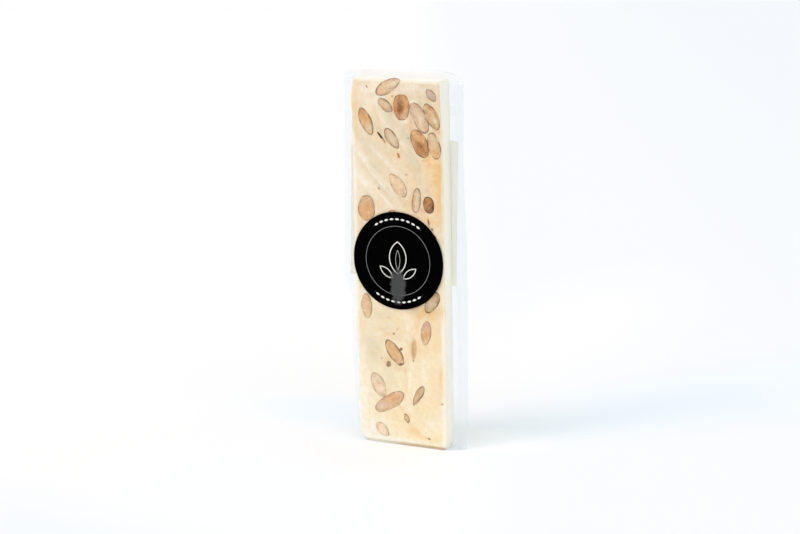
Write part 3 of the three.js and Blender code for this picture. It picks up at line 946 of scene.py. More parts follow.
# %% Almonds and crumbs of the back
BACK_ALMONDS = 30
BACK_CRUMBS = 16
BACK_ROASTS = ["cream", "cream", "tan", "tan", "amber", "orange", "toasted", "olive", "grey", "pink", "dark"]
CRUMB_ROASTS = ["crumb", "pale crumb", "rust"]
BACK_LENGTHS = (8, 17)
BACK_SLIMNESS = (0.42, 0.6)
BACK_LEAN, LEAN_SPREAD = 60, 28
BACK_SPOTS = ((-20, 20), (10, 180))  # x, z
BACK_OUTLINES = ((-0.1, 0.15), (1.7, 2.4), (0.45, 0.85))  # narrowing, fullness, skin
CRUMB_RANGES = ((-21, 21), (5, 184), (0.8, 2.6), (0.7, 1.4), (-90, 90))  # x, z, length, width, lean
LEAST_GAP = 1.0
SHARE_OF_LENGTHS = 0.36
INSIDE = 22.5
MOST_TRIES = 4000
draw = random.Random(11)


def drawn_from(ranges):
    """A chance number from each of these ranges, in their order."""
    return [draw.uniform(*ends) for ends in ranges]


back_almonds = []
tries = 0
while len(back_almonds) < BACK_ALMONDS and tries < MOST_TRIES:
    tries += 1
    length = draw.uniform(*BACK_LENGTHS)
    width = length * draw.uniform(*BACK_SLIMNESS)
    lean = draw.gauss(BACK_LEAN, LEAN_SPREAD)
    spot = Vector(drawn_from(BACK_SPOTS))
    if abs(spot.x) + length / 2 * abs(math.cos(math.radians(lean))) + width / 2 > INSIDE:
        continue
    if any((spot - Vector(other[:2])).length < (length + other[2]) * SHARE_OF_LENGTHS + LEAST_GAP
           for other in back_almonds):
        continue
    back_almonds.append((*spot, length, width, lean, *drawn_from(BACK_OUTLINES), draw.choice(BACK_ROASTS)))
back_crumbs = [(*drawn_from(CRUMB_RANGES), draw.choice(CRUMB_ROASTS)) for _ in range(BACK_CRUMBS)]
print(len(back_almonds), "almonds and", len(back_crumbs), "crumbs behind, after", tries, "tries")

# %% [markdown]
# Each copy keeps on its vertices the three colours of its roast, how strong its
# heart and its skin are, a chance number of its own, and its true size, which the
# finish needs to draw a skin of even width.


# %% Shape and colour of one almond
UNEVEN = 0.14
ENDS_UNEVEN = 0.05
TIP_SLIMMER = 0.05


def misshapen(mesh, narrowing, fullness, seed):
    """Points or squares a half almond, draws it in to the right, and makes it uneven."""
    for vertex in mesh.vertices:
        way = vertex.co.normalized()
        beside = (way.y ** 2 + way.z ** 2) ** 0.5
        if way.length > 0:
            vertex.co *= (abs(way.x) ** fullness + beside ** fullness) ** (-1 / fullness)
        lumps = noise.noise(way * 1.5 + Vector((seed * 3.7, 0, 0)))
        ends = noise.noise(way * 1.2 + Vector((0, seed * 2.9, 0)))
        tip = soften(abs(vertex.co.x), 0.2, 0.5)
        width = (1 - narrowing * 2 * vertex.co.x) * (1 - TIP_SLIMMER * tip) * (1 + UNEVEN * lumps)
        vertex.co.x *= 1 + ENDS_UNEVEN * ends
        vertex.co.y *= width
        vertex.co.z *= width


def keep_colour(mesh, name, value):
    """Gives every vertex the same colour under a name."""
    layer = mesh.attributes.new(name, "FLOAT_COLOR", "POINT")
    for item in layer.data:
        item.color = value


print("an almond is uneven by", UNEVEN, "of its width and", ENDS_UNEVEN, "of its length")

# %% [markdown]
# A ray from outside finds the nougat's face where the almond goes, since that face
# wanders. The cut almond stands a hair proud of it, and each one by a little more than
# the one before, so that no two faces that overlap lie in the same plane.

# %% Set the almonds into the bar
DEPTH_SHARE = 0.55
CUT_PROUD = 0.06 * MM
PROUDER = 0.003 * MM


def cut_face_y(across, up, facing):
    """How far out the nougat's face is at a place, felt for with a ray from outside."""
    start = Vector((across * MM, facing * BAR_DEPTH, up * MM))
    hit, point, _, _ = nougat.ray_cast(start, Vector((0, -facing, 0)))
    return point.y if hit else facing * BAR_DEPTH / 2


def set_almond(row, seed, facing):
    """A copy of the half almond in the front (-1) or back (1) face of the bar."""
    across, up, length, width, lean, narrowing, fullness, skin, roast = row
    mesh = half_almond.data.copy()
    almond = bpy.data.objects.new("almond", mesh)
    bpy.context.collection.objects.link(almond)
    misshapen(mesh, narrowing, fullness, seed)
    flesh, other, heart, strength = ROASTS[roast]
    keep_colour(mesh, "flesh", colour(*flesh))
    keep_colour(mesh, "other", colour(*other))
    keep_colour(mesh, "heart", colour(*heart))
    keep_colour(mesh, "facts", (strength, seed * 0.37 % 1, skin, 1))
    keep_colour(mesh, "extent", (length / 2, width / 2, 0, 1))
    length, width = length * MM, width * MM
    stretch = Matrix.Diagonal((length, width * DEPTH_SHARE, width, 1))
    turn = Matrix.Rotation(-math.radians(lean), 4, "Y")
    about = Matrix.Rotation(math.pi, 4, "Z") if facing > 0 else Matrix.Identity(4)
    out = cut_face_y(across, up, facing) + facing * (CUT_PROUD + PROUDER * seed)
    mesh.transform(Matrix.Translation((across * MM, out, up * MM)) @ about @ turn @ stretch)
    return almond


def as_almond(crumb):
    """A crumb's row in an almond's form: an even oval without a skin."""
    return (*crumb[:5], 0, 2, 0, crumb[5])


front_rows = FRONT_ALMONDS + [as_almond(crumb) for crumb in FRONT_CRUMBS]
back_rows = back_almonds + [as_almond(crumb) for crumb in back_crumbs]
pieces_set = [set_almond(row, seed, -1) for seed, row in enumerate(front_rows)]
pieces_set += [set_almond(row, seed, 1) for seed, row in enumerate(back_rows)]
bpy.data.objects.remove(half_almond)
only(*pieces_set)
bpy.ops.object.join()
almonds = bpy.context.object
almonds.name = almonds.data.name = "almonds"
smooth(almonds, 30)
print(len(pieces_set), "almonds and crumbs set")

# %% [markdown]
# No almond is browned evenly. Their burnt hearts, pale blooms and dark rims are
# painted in front, in the same way as the patches of the nougat. The last two
# lists tell where the skin shows darker, and where it has come off.

# %% Patches of tone on the almonds
ALMOND_TONES = {
    "amber": (222, 158, 86), "burnt": (110, 60, 24), "plum": (212, 178, 164),
    "ash": (222, 210, 180), "bloom": (253, 238, 210)}
ALMOND_PATCHES = {
    # from the top down: x, z, half length, half width (mm), lean (degrees), strength
    "amber": [
        (-8.6, 182.4, 3.4, 2.0, 25, 0.3), (18.0, 174.5, 2.4, 1.2, -60, 0.5),
        (-6.6, 174.4, 2.2, 1.2, -38, 0.35), (3.8, 171.0, 4, 3, 80, 0.35), (19.0, 171.0, 4, 2.0, -60, 0.35),
        (-18.8, 169.0, 5.0, 2.2, -62, 0.85), (15.6, 163.8, 3, 1.2, -60, 0.5),
        (10.8, 160.0, 3.6, 2.6, -60, 0.5), (12.6, 155.6, 4.5, 3.0, -60, 0.6),
        (20.2, 152.4, 3.2, 2.8, 0, 0.5), (15.6, 128.8, 1.8, 1.0, 0, 0.5), (7.9, 128, 5, 1.2, 85, 0.6),
        (16.2, 127.8, 2.6, 1.6, 0, 0.7), (14.6, 125.4, 1.6, 1.2, 0, 0.6), (17.8, 125.2, 1.0, 0.8, 0, 0.5),
        (-18.4, 121.0, 5, 3.5, 80, 0.35), (17.0, 77.5, 3, 1.6, 60, 0.3), (-19.4, 73, 4, 2, 85, 0.2),
        (13.8, 58.8, 3.4, 2.4, 85, 0.75), (-4.4, 48.8, 6, 2, -53, 0.35), (-7.0, 47.2, 2.5, 1.2, -53, 0.5),
        (-13.2, 31.6, 1.6, 1.0, 0, 0.55), (9.2, 27.4, 4, 1.2, 60, 0.25), (-7.0, 25.2, 4, 1.5, 30, 0.4),
        (-4.2, 24.2, 5.5, 2.4, 25, 0.65)],
    "burnt": [
        (0.9, 178.0, 2.2, 1.0, 60, 0.45), (1.9, 175.8, 3.0, 1.6, 90, 0.4),
        (17.4, 175.2, 1.4, 0.8, -60, 0.45), (6.2, 172.5, 5.0, 0.5, 88, 0.4),
        (-20.2, 171.2, 2.0, 0.7, -60, 0.4), (9.0, 158.0, 3.6, 0.6, -65, 0.3),
        (12.4, 155.7, 2.2, 1.3, -30, 0.85), (14.8, 152.2, 2.2, 0.8, -60, 0.35),
        (18.4, 127.6, 1.2, 0.8, 0, 0.4), (14.8, 127.4, 1.4, 1.0, 0, 0.5), (18.7, 125.2, 3.2, 1.5, 80, 1.0),
        (16.2, 122.8, 2.0, 1.6, 0, 0.8), (-7.5, 26.4, 2.6, 0.6, 20, 0.3), (-15.0, 17.6, 1.6, 0.9, 0, 0.4)],
    "plum": [
        (-3.6, 183.0, 3.4, 1.6, 20, 0.55), (1.8, 132.2, 2.2, 1.8, 0, 0.3), (-19.8, 125.5, 2.5, 2.0, 0, 0.3),
        (11.0, 123.5, 1.2, 1.0, 0, 0.4), (14.0, 64.5, 2.8, 2.4, 0, 0.65), (-12.2, 19.8, 4.5, 2.6, 30, 0.6)],
    "ash": [
        (-0.4, 186.4, 4.0, 2.2, 28, 0.75), (9.4, 172.6, 3.5, 1.8, -62, 0.4),
        (19.8, 169.5, 3.0, 1.4, -60, 0.3), (-15.8, 163.0, 2.6, 1.6, -60, 0.7),
        (20.2, 158.8, 2.6, 2.0, 0, 0.5), (-3.2, 158.2, 4.2, 1.8, -55, 0.75),
        (10.4, 127.6, 4.6, 1.3, 88, 0.85), (17.0, 75.5, 3.4, 2.0, 60, 0.5), (-14.2, 33.6, 3.4, 2.6, 0, 0.5)],
    "bloom": [
        (-2.0, 185.4, 2.6, 1.2, 28, 0.3), (-6.2, 174.4, 2.0, 1.2, -38, 0.15),
        (4.6, 172.0, 2.4, 1.2, 80, 0.3), (3.6, 169.4, 2.4, 1.8, 0, 0.4), (12.4, 169.4, 2.6, 1.6, -60, 0.4),
        (20.4, 168.2, 2.0, 0.5, -30, 0.7), (20.8, 168.2, 3, 1, -60, 0.5), (12.8, 167.0, 3.0, 0.7, -60, 0.4),
        (10.4, 160.4, 1.0, 0.4, -60, 0.3), (-1.2, 136.0, 4.0, 1.8, -55, 0.15),
        (10.2, 123.6, 1.2, 0.8, 0, 0.5), (-21.0, 71, 5, 1.2, 88, 0.3), (-12.0, 28.2, 2.5, 1.6, -60, 0.5),
        (-12.4, 19.6, 3, 2, 30, 0.4)],
    "rim": [
        (-6.0, 187.0, 5, 1.0, 22, 0.6), (-10.6, 181.6, 3, 1.4, 60, 0.8), (-1.0, 180.0, 2.5, 1.2, 40, 0.4),
        (-9.4, 176.6, 2, 2, 0, 0.4), (15.6, 172.4, 4.5, 1.4, -80, 0.8), (-20.6, 169.5, 4.5, 1.2, -80, 0.6),
        (15.3, 166.8, 6.5, 1.7, -65, 0.9), (-14.6, 163.5, 5, 1.0, -75, 0.5), (10.2, 162.8, 3, 1.2, 20, 0.6),
        (13.8, 162.6, 3, 1.2, -20, 0.8), (-6.0, 162.0, 3.4, 1.3, -10, 0.9), (19, 161.8, 2.6, 1.0, 0, 0.5),
        (-7.0, 159.5, 3, 1.0, -70, 0.6), (8.2, 157.5, 6, 1.4, -72, 0.7), (23.4, 156, 4, 0.8, -80, 0.4),
        (15.4, 154, 4, 1.0, -80, 0.6), (13.4, 149.9, 3.5, 1.2, -30, 0.8), (10.6, 133.4, 2.4, 1.2, 20, 0.7),
        (7.2, 128, 5, 1.0, 88, 0.6), (18.9, 125.6, 3, 1.0, 88, 0.9), (11.4, 122.6, 1.6, 1.2, 0, 0.7),
        (20.6, 75.5, 4, 1.0, 70, 0.6), (15.6, 71.6, 3, 1.4, 0, 0.7), (-9.0, 53.0, 2.8, 1.2, -60, 0.7),
        (-1.6, 47.6, 5, 1.0, -55, 0.6), (-6.9, 46.4, 5, 1.0, -55, 0.5), (-1.0, 43.8, 2.4, 1.4, -60, 0.9),
        (-5.2, 27.8, 3, 0.8, 20, 0.4), (9, 27.2, 6, 2.4, 61, 0.4), (-15.4, 18.0, 2, 1.4, 0, 0.5),
        (2.3, 14.5, 3, 2, -70, 0.4), (-8.6, 4.8, 1.4, 0.9, 0, 0.6)],
    "bare": [
        (-2.0, 181.8, 6, 1.5, 28, 0.9), (22.6, 170.5, 5, 1.4, -62, 0.6), (8.4, 169, 7, 1.6, -62, 0.7),
        (22.4, 153, 3, 1.5, 0, 0.4), (-14.5, 117, 3, 3, 0, 0.4), (-11.0, 26.0, 3, 2, 0, 0.6)],
}


def on_almond(point, patches):
    """The patches of one tone on the cut almonds of the front; none show elsewhere."""
    return patch_at(point, patches) if point.y < 0 else 0


for tone, patches in ALMOND_PATCHES.items():
    paint(almonds, tone, lambda point, patches=patches: on_almond(point, patches))
print(sum(len(patches) for patches in ALMOND_PATCHES.values()), "patches painted on the almonds")

# %% [markdown]
# On the circle of the UV map the rim is at radius 1. What one step inwards means in
# millimetres follows from the almond's half length and half width, so the skin can
# be drawn later as a line of true width. The flesh is streaked along the almond, has
# a heart of its own colour, pale bloom and fine specks, and the painted patches.

# %% Colour of the flesh
tree = flesh_finish.node_tree
u, v, _ = node(tree, "ShaderNodeUVMap", {"uv_map": "UVMap"}).parts()
strength, chance, skin = read(tree, "facts", "Vector").parts()
half_length, half_width, _ = read(tree, "extent", "Vector").parts()
u, v = (u - 0.5) * 2, (v - 0.5) * 2
radius = (u ** 2 + v ** 2) ** 0.5
steepness = ((u / half_length) ** 2 + (v / half_width) ** 2) ** 0.5
from_rim = (1 - radius) * radius / steepness.most(0.001)

blotch = flesh_place.speckle(2.2, detail=3, seed=22)
fine = flesh_place.speckle(0.9, detail=3, seed=26)
grain = together(u * half_length / 5 + chance * 40, v * half_width / 0.9, chance * 9)
lines = grain.speckle(1, detail=3, seed=21)
one_end = u * (chance - 0.5)
tone = mix((blotch * 0.5 + fine * 0.25 + lines * 0.25 + one_end * 0.25).rise(0.40, 0.60),
           read(tree, "flesh", "Color"), read(tree, "other", "Color"))
off_middle = ((u - 0.5 * (chance - 0.5)) ** 2 + (v - 0.5 * (0.5 - chance)) ** 2) ** 0.5
heart = (1 - (off_middle + 1.1 * (blotch - 0.5)).rise(0.05, 0.85)) * strength
tone = mix(heart, tone, read(tree, "heart", "Color"))
tone = mix(lines.rise(0.56, 0.74) * 0.35, tone, colour(176, 128, 78))
bloom = flesh_place.speckle(1.4, detail=3, seed=24).rise(0.54, 0.68)
tone = mix(bloom * 0.35, tone, colour(248, 230, 200))
for name, values in ALMOND_TONES.items():
    share = read(tree, name) * (0.55 + 0.9 * (blotch * 0.5 + fine * 0.3 + lines * 0.2))
    tone = mix(share.least(1), tone, colour(*values))
inner = 1 - abs(radius + 0.35 * (fine - 0.5) - 0.70).rise(0.02, 0.10)
tone = mix(inner * 0.30 * blotch.rise(0.42, 0.58), tone, colour(176, 124, 78))
specks = flesh_place.speckle(0.55, detail=2, seed=27)
tone = mix(specks.rise(0.56, 0.72) * 0.40, tone, colour(176, 126, 76))
tone = mix((1 - specks).rise(0.58, 0.74) * 0.35, tone, colour(252, 236, 204))
print("tones on the almonds:", ", ".join(ALMOND_TONES))

# %% [markdown]
# Round the cut the skin is a thin brown line, darker and wider in some stretches than
# in others, and the flesh next to it is browned a little. Where the whole skin of an
# almond shows, it is rubbed bark brown.

# %% Almond finishes
THINNEST_SKIN = 0.26
SKIN_GROWS = 0.40

patchy = flesh_place.speckle(3.0, detail=3, seed=25)
darkness = skin * (0.35 + 0.8 * patchy.rise(0.38, 0.62)) * (1 - read(tree, "bare"))
darkness = darkness + read(tree, "rim") * 0.55
ring_width = THINNEST_SKIN + SKIN_GROWS * darkness
ring = 1 - (from_rim / ring_width + 0.9 * (fine - 0.5)).rise(0.35, 1.1)
browning_and_shade = (1 - from_rim.rise(0.3, 1.9)) * skin * 0.55 * patchy.rise(0.35, 0.6)
tone = mix(browning_and_shade, tone, colour(178, 122, 70))
tone = mix(ring * (darkness * 0.95).least(0.9), tone, colour(108, 72, 44))
cover(flesh_finish, node(tree, "ShaderNodeBsdfPrincipled", values={
    "Base Color": tone, "Roughness": 0.45, "Normal": bumps(lines * 0.5 - ring, 0.08 * MM),
    "Subsurface Weight": 0.15, "Subsurface Scale": 0.6 * MM, "Specular IOR Level": 0.35}))

tree = skin_finish.node_tree
rub = skin_place.speckle(1.3, detail=3, seed=23)
bark = mix(rub.rise(0.3, 0.7), colour(112, 76, 48), colour(158, 116, 80))
cover(skin_finish, node(tree, "ShaderNodeBsdfPrincipled", values={
    "Base Color": bark, "Roughness": 0.6, "Normal": bumps(rub, 0.05 * MM)}))
belongs(almonds, "almond", "bag")

# %% [markdown]
# ## The film bag
#
# Film is stiff across a fold and soft along it, so it lies flat on the bar, stands
# off it in a sharp fold down each side, and creases where it has to turn a corner.
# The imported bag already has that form. A copy of it is merged into one skin, the
# edges that press on the bar are rounded, and it is cut fine enough for creases.

# %% Film skin
film = bpy.data.objects.new("film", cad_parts["bag"].data.copy())
bpy.context.collection.objects.link(film)
film.data.materials.clear()
bag_low, bag_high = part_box("bag")
roof_z = BAR_HIGH.z + ROOF_SLACK
TOUCH = 0.02 * MM


def on_bar_edge(edge):
    """Whether a film edge lies along an upright edge of the bar, or its top front edge."""
    ends = [vertex.co for vertex in edge.verts]
    if all(abs(end.z - roof_z) < TOUCH and abs(end.y + FILM_Y) < TOUCH for end in ends):
        return True
    return all(abs(abs(end.x) - EDGE_X) < TOUCH and BAR_LIFT < end.z < roof_z + TOUCH for end in ends)


with Editing(film) as edit:
    bpy.ops.mesh.remove_doubles(threshold=TOUCH / 4)
    bpy.ops.mesh.customdata_custom_splitnormals_clear()
    bpy.ops.mesh.tris_convert_to_quads(face_threshold=math.pi, shape_threshold=math.pi)
    edit.pick("EDGE", on_bar_edge)
    bpy.ops.mesh.bevel(offset=0.4 * MM, segments=2)
modify(film, "SUBSURF", subdivision_type="SIMPLE", levels=2)
print("the film has", len(film.data.polygons), "faces")

# %% [markdown]
# Paper holds the film flat, so the creases die out under the labels. Elsewhere the
# film's sides are loose, while its front and back only ripple a little.

# %% How loose the film is
FACE_LOOSE = 0.10
front_low, front_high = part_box("front_label")
back_low, back_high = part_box("back_label")
LABEL_RADIUS = (front_high.z - front_low.z) / 2
LABEL_MIDDLE = Vector((front_high.x - LABEL_RADIUS, (front_high.z + front_low.z) / 2))
BACK_MIDDLE = Vector(((back_low.x + back_high.x) / 2, (back_low.z + back_high.z) / 2))


def looseness(point):
    """How freely the film can crease at a point, from 0 to 1."""
    loose = FACE_LOOSE + (1 - FACE_LOOSE) * soften(abs(point.x), EDGE_X, EDGE_X + 2.5 * MM)
    loose *= soften(point.z, 0, 5 * MM)
    if point.y < 0:
        away = (Vector((point.x, point.z)) - LABEL_MIDDLE).length - LABEL_RADIUS
        loose *= soften(away, 0.5 * MM, 5 * MM)
    else:
        beside = max(back_low.x - point.x, point.x - back_high.x)
        above = max(back_low.z - point.z, point.z - back_high.z)
        loose *= soften(max(beside, above), 0.3 * MM, 4 * MM)
    return loose


print("the film's faces are", FACE_LOOSE, "times as loose as its sides")

# %% [markdown]
# Each crease is a straight ridge or groove in the front or the back film, deepest in
# its middle. They are listed one by one, mostly down the loose side folds and out from the
# corners of the labels, where film is pulled.

# %% Creases
CREASES = [
    # which film (-1 front, 1 back), from x, z to x, z (mm), how deep (mm)
    (-1, 31.5, 54, 26.0, 24, -1.0), (-1, 25.0, 187, 31.5, 181, 0.6), (-1, 25.5, 186, 29.5, 168, -0.5),
    (-1, 27.0, 182, 27.5, 140, 0.4), (-1, 30.5, 172, 29.5, 118, -0.4), (-1, 26.5, 118, 30.5, 78, 0.35),
    (-1, 32.0, 98, 29.0, 62, 0.3), (-1, 27.5, 70, 32.0, 34, 0.4), (-1, 26.0, 38, 31.0, 6, 0.35),
    (-1, 30.5, 30, 28.0, 4, -0.4), (-1, -25.5, 186, -31.5, 178, 0.5), (-1, -26.0, 184, -29.5, 160, -0.5),
    (-1, -28.0, 178, -27.5, 132, 0.35), (-1, -31.5, 150, -29.0, 108, -0.35), (-1, -27.0, 84, -33.0, 88, 0.6),
    (-1, -25.5, 78, -30.0, 74, -0.5), (-1, -28.5, 66, -27.0, 30, 0.3), (-1, -25.5, 24, -28.5, 5, -0.3),
    (1, 25.5, 184, 30.5, 176, 0.5), (1, 30.0, 82, 26.0, 60, -0.5), (1, 27.0, 76, 31.5, 40, 0.4),
    (1, 26.0, 44, 31.0, 10, 0.4), (1, -26.0, 182, -31.0, 172, 0.5), (1, -33.0, 83, -25.5, 76, 0.6),
    (1, -26.5, 70, -29.0, 34, 0.3), (1, 10.0, 1, 24.0, 30, 0.9), (1, -8.0, 1, -24.0, 26, -0.8),
    (1, -24.0, 66, 6.0, 42, 0.7), (1, 24.0, 72, 2.0, 60, -0.7),
]
CREASE_WIDTH = 1.5 * MM
BETWEEN_FILMS = 1.5 * MM


def crease(point):
    """How far the film is pushed in or out at a point by the creases near it."""
    here = Vector((point.x, point.z)) / MM
    shift = 0
    for side, from_x, from_z, to_x, to_z, depth in CREASES:
        if side * (point.y - BETWEEN_FILMS) < 0:
            continue
        start, way = Vector((from_x, from_z)), Vector((to_x - from_x, to_z - from_z))
        share = min(max((here - start).dot(way) / way.length_squared, 0), 1)
        off = (here - start - share * way).length * MM
        fade = math.sin(math.pi * min(max(share, 0.02), 0.98)) ** 0.6
        shift += depth * MM * fade * max(0, 1 - off / CREASE_WIDTH)
    return shift


print(len(CREASES), "creases")

# %% [markdown]
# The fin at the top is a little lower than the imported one, and its right corner
# slopes down. The film then follows the uneven bar, and is creased and crumpled as
# far as it is loose. Last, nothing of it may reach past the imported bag. The finish
# will want to know where the fin's weld is and which film lies over the bar's top, so
# both are painted first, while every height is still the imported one.

# %% Crumpled film
FIN_SHORT = 0.30
CORNER_DROP = 5.5 * MM
CORNER_DROP_FROM = 165 * MM

paint(film, "welded", lambda point: soften(point.z, roof_z + 0.5 * MM, bag_high.z - 2.5 * MM))
paint(film, "over_bar", lambda point: soften(point.z, roof_z - 0.5 * MM, roof_z + 0.5 * MM)
      * (1 - soften(point.z, roof_z + 2 * MM, roof_z + 5 * MM))
      * (1 - soften(abs(point.x), EDGE_X - 1 * MM, EDGE_X + 1 * MM)))
for vertex in film.data.vertices:
    above = max(vertex.co.z - roof_z, 0)
    vertex.co.z -= above * FIN_SHORT
    beyond = max(vertex.co.x - EDGE_X, 0) / (bag_high.x - EDGE_X)
    vertex.co.z -= CORNER_DROP * beyond * soften(vertex.co.z, CORNER_DROP_FROM, bag_high.z)
    vertex.co = settle(vertex.co)
only(film)
film.data.update()
normals = [vertex.normal.copy() for vertex in film.data.vertices]
for vertex, normal in zip(film.data.vertices, normals):
    vertex.co += normal * crease(vertex.co) * looseness(vertex.co)
weigh(film, "loose", looseness)
roughen(film, size=9 * MM, depth=0.5 * MM, detail=1, group="loose")
roughen(film, size=3 * MM, depth=0.12 * MM, detail=1, group="loose")
for vertex in film.data.vertices:
    for axis in range(3):
        vertex.co[axis] = min(max(vertex.co[axis], bag_low[axis]), bag_high[axis])
smooth(film, 35)
print("the film reaches up to", round(max(vertex.co.z for vertex in film.data.vertices) / MM, 1), "mm")

# %% [markdown]
# Clear film is seen only by what it mirrors and by the little light that it holds
# back. So its shader lets light straight through, and mirrors more of it the
# flatter it is looked at. The pressed films of the fin, the welded side folds and
# the glue line of the flap are a little hazier, and over the bar's top a warm tint in
# the nougat's colour is painted into the film, for the nougat's light that it catches.
# The fin's rim is a row of tight folds seen one behind the other, so each of them has
# to be clearer still.

# %% How hazy the film is
FIN_HAZE = 0.6
RIGHT_FOLD_HAZE = 0.9
LEFT_FOLD_HAZE = 0.3
FLAP_HAZE = 0.25
GLUE_HAZE = 0.8
FLAP_LENGTH = 27 * MM
GLUE_LINE = 5 * MM
flap_end = bag_high.z - FLAP_LENGTH


def haze_at(point):
    """How cloudy the film is: two or more layers, the welds, and the flap's glue."""
    haze = FIN_HAZE * soften(point.z, roof_z, roof_z + 2 * MM)
    fold_haze = RIGHT_FOLD_HAZE if point.x > 0 else LEFT_FOLD_HAZE
    haze = max(haze, fold_haze * soften(abs(point.x), EDGE_X + 1.2 * MM, EDGE_X + 4 * MM))
    if point.y > BAR_DEPTH / 2 and abs(point.x) < EDGE_X + 4 * MM:
        on_flap = soften(point.z, flap_end, flap_end + 1 * MM)
        haze = max(haze, on_flap * FLAP_HAZE)
        glue = soften(point.z, flap_end + 2 * MM, flap_end + 3 * MM)
        glue *= 1 - soften(point.z, flap_end + 2 * MM + GLUE_LINE, flap_end + 3 * MM + GLUE_LINE)
        haze = max(haze, glue * GLUE_HAZE)
    return haze


paint(film, "haze", haze_at)
print("the flap ends at", round(flap_end / MM), "mm")

# %% Film finish
LEAST_MIRRORED = 0.02
MORE_AT_EDGE = 0.6
LEAST_HAZE = 0.004
FULL_HAZE = 0.19
NOUGAT_GLOW_SHARE = 0.13
MANY_LAYERS = 32

film_finish, place = new_finish("clear_film")
tree = film_finish.node_tree
facing = node(tree, "ShaderNodeLayerWeight", values={"Blend": 0.5}, output="Facing")
mirrored = (LEAST_MIRRORED + MORE_AT_EDGE * facing ** 5) * (1 - read(tree, "welded") * 0.96)
haze = (read(tree, "haze") * FULL_HAZE + LEAST_HAZE) * (1 - read(tree, "welded") * 0.92)
ripple = place.speckle(6, detail=2, seed=31) + 0.25 * place.speckle(1.2, detail=1, seed=32)
uneven = bumps(ripple, 0.12 * MM)
clear = node(tree, "ShaderNodeBsdfTransparent", values={"Color": (0.987, 0.991, 0.997, 1)})
untinted = node(tree, "ShaderNodeBsdfTransparent", values={"Color": (1, 1, 1, 1)})
clearer = read(tree, "welded") * 0.85
clear = node(tree, "ShaderNodeMixShader", values={0: clearer, 1: clear, 2: untinted})
gloss = node(tree, "ShaderNodeBsdfGlossy", values={
    "Color": (0.97, 0.99, 1, 1), "Roughness": 0.12, "Normal": uneven})
cloud = node(tree, "ShaderNodeBsdfDiffuse", values={"Color": (0.78, 0.87, 0.94, 1)})
body = node(tree, "ShaderNodeMixShader", values={0: haze, 1: clear, 2: cloud})
# painted glow: a warm diffuse layer over the bar's top, for the nougat's light caught in the film
painted_nougat_glow = node(tree, "ShaderNodeBsdfDiffuse", values={"Color": (0.93, 0.80, 0.62, 1)})
nougat_glow_share = read(tree, "over_bar") * NOUGAT_GLOW_SHARE
body = node(tree, "ShaderNodeMixShader", values={0: nougat_glow_share, 1: body, 2: painted_nougat_glow})
cover(film_finish, node(tree, "ShaderNodeMixShader", values={0: mirrored, 1: body, 2: gloss}))
film.data.materials.append(film_finish)
# A look along the fin goes through many layers, and each counts as a bounce.
bpy.context.scene.cycles.transparent_max_bounces = MANY_LAYERS
belongs(film, "clear_film", "bag")

# %% [markdown]
# ## The front label
#
# A disc of black coated paper, wider than the bar is in front of its left edge, so
# it folds round that edge. A filled circle is cut by upright lines where it
# bends, moved onto the film, and given the thickness of paper.

# %% Front label
PAPER = 0.12 * MM
LABEL_LIFT = 0.10 * MM
LABEL_TUCK = 0.012
BEND = 0.9 * MM
UPRIGHT_CUTS = range(-6, 3)
LEVEL_CUTS = range(-3, 4)
LEVEL_STEP = 6 * MM

bpy.ops.object.select_all(action="DESELECT")
bpy.ops.mesh.primitive_circle_add(
    vertices=160, radius=LABEL_RADIUS, fill_type="NGON", rotation=(math.pi / 2, 0, 0),
    location=(LABEL_MIDDLE.x, -FILM_Y - LABEL_LIFT, LABEL_MIDDLE.y))
front_label = added("front_label_paper")
for step in UPRIGHT_CUTS:
    with Editing(front_label):
        bpy.ops.mesh.bisect(plane_co=(-EDGE_X + step * BEND / 3, 0, 0), plane_no=(1, 0, 0))
for step in LEVEL_CUTS:
    with Editing(front_label):
        bpy.ops.mesh.bisect(plane_co=(0, 0, LABEL_MIDDLE.y + step * LEVEL_STEP), plane_no=(0, 0, 1))
print("the flat label has", len(front_label.data.polygons), "faces")

# %% [markdown]
# Past the bar's edge the label follows the film, which falls away more or less
# steeply there. A ray feels for that slope, and the paper bends to it.


# %% Fold the front label round the edge
def flank_slope(z, side, facing):
    """How steeply the film falls away from the bar's edge, in radians, felt for with a ray."""
    reach = 4.5 * MM
    start = Vector((side * (EDGE_X + side_out(side, z) + reach), facing * 3 * FILM_Y, z))
    hit, point, _, _ = film.ray_cast(start, Vector((0, -facing, 0)))
    return math.atan2(FILM_Y - facing * point.y, reach) if hit else 0


def folded(point, side, facing, lift):
    """Where a point of a flat label comes to lie when the label folds round the bar's edge."""
    edge = EDGE_X + side_out(side, point.z)
    over = side * point.x - (edge - BEND / 2)
    if over <= 0:
        return point
    slope = flank_slope(point.z, side, facing)
    turned = slope * min(over / BEND, 1)
    radius = BEND / max(slope, 0.01)
    out = radius * math.sin(turned)
    down = radius * (1 - math.cos(turned))
    rest = max(over - BEND, 0)
    out += rest * math.cos(slope)
    down += rest * math.sin(slope)
    flat_y = FILM_Y + lift
    return Vector((side * (edge - BEND / 2 + out), facing * (flat_y - down), point.z))


for vertex in front_label.data.vertices:
    left = min(vertex.co.x - LABEL_MIDDLE.x, 0)
    vertex.co.x -= left * LABEL_TUCK
    vertex.co = folded(vertex.co, -1, -1, LABEL_LIFT)
modify(front_label, "SOLIDIFY", thickness=PAPER, offset=1)
smooth(front_label, 30)
print("the front label is", round(2 * LABEL_RADIUS / MM, 1), "mm wide")

# %% [markdown]
# The print is worked out from the distance to the label's middle and the angle
# round it: a fine ring, a garland of small leaves above and below between ring and
# rim, and one almond between two leaves in the middle. A leaf is what two equal
# circles have in common, so its edge is found from the nearer circle's middle.

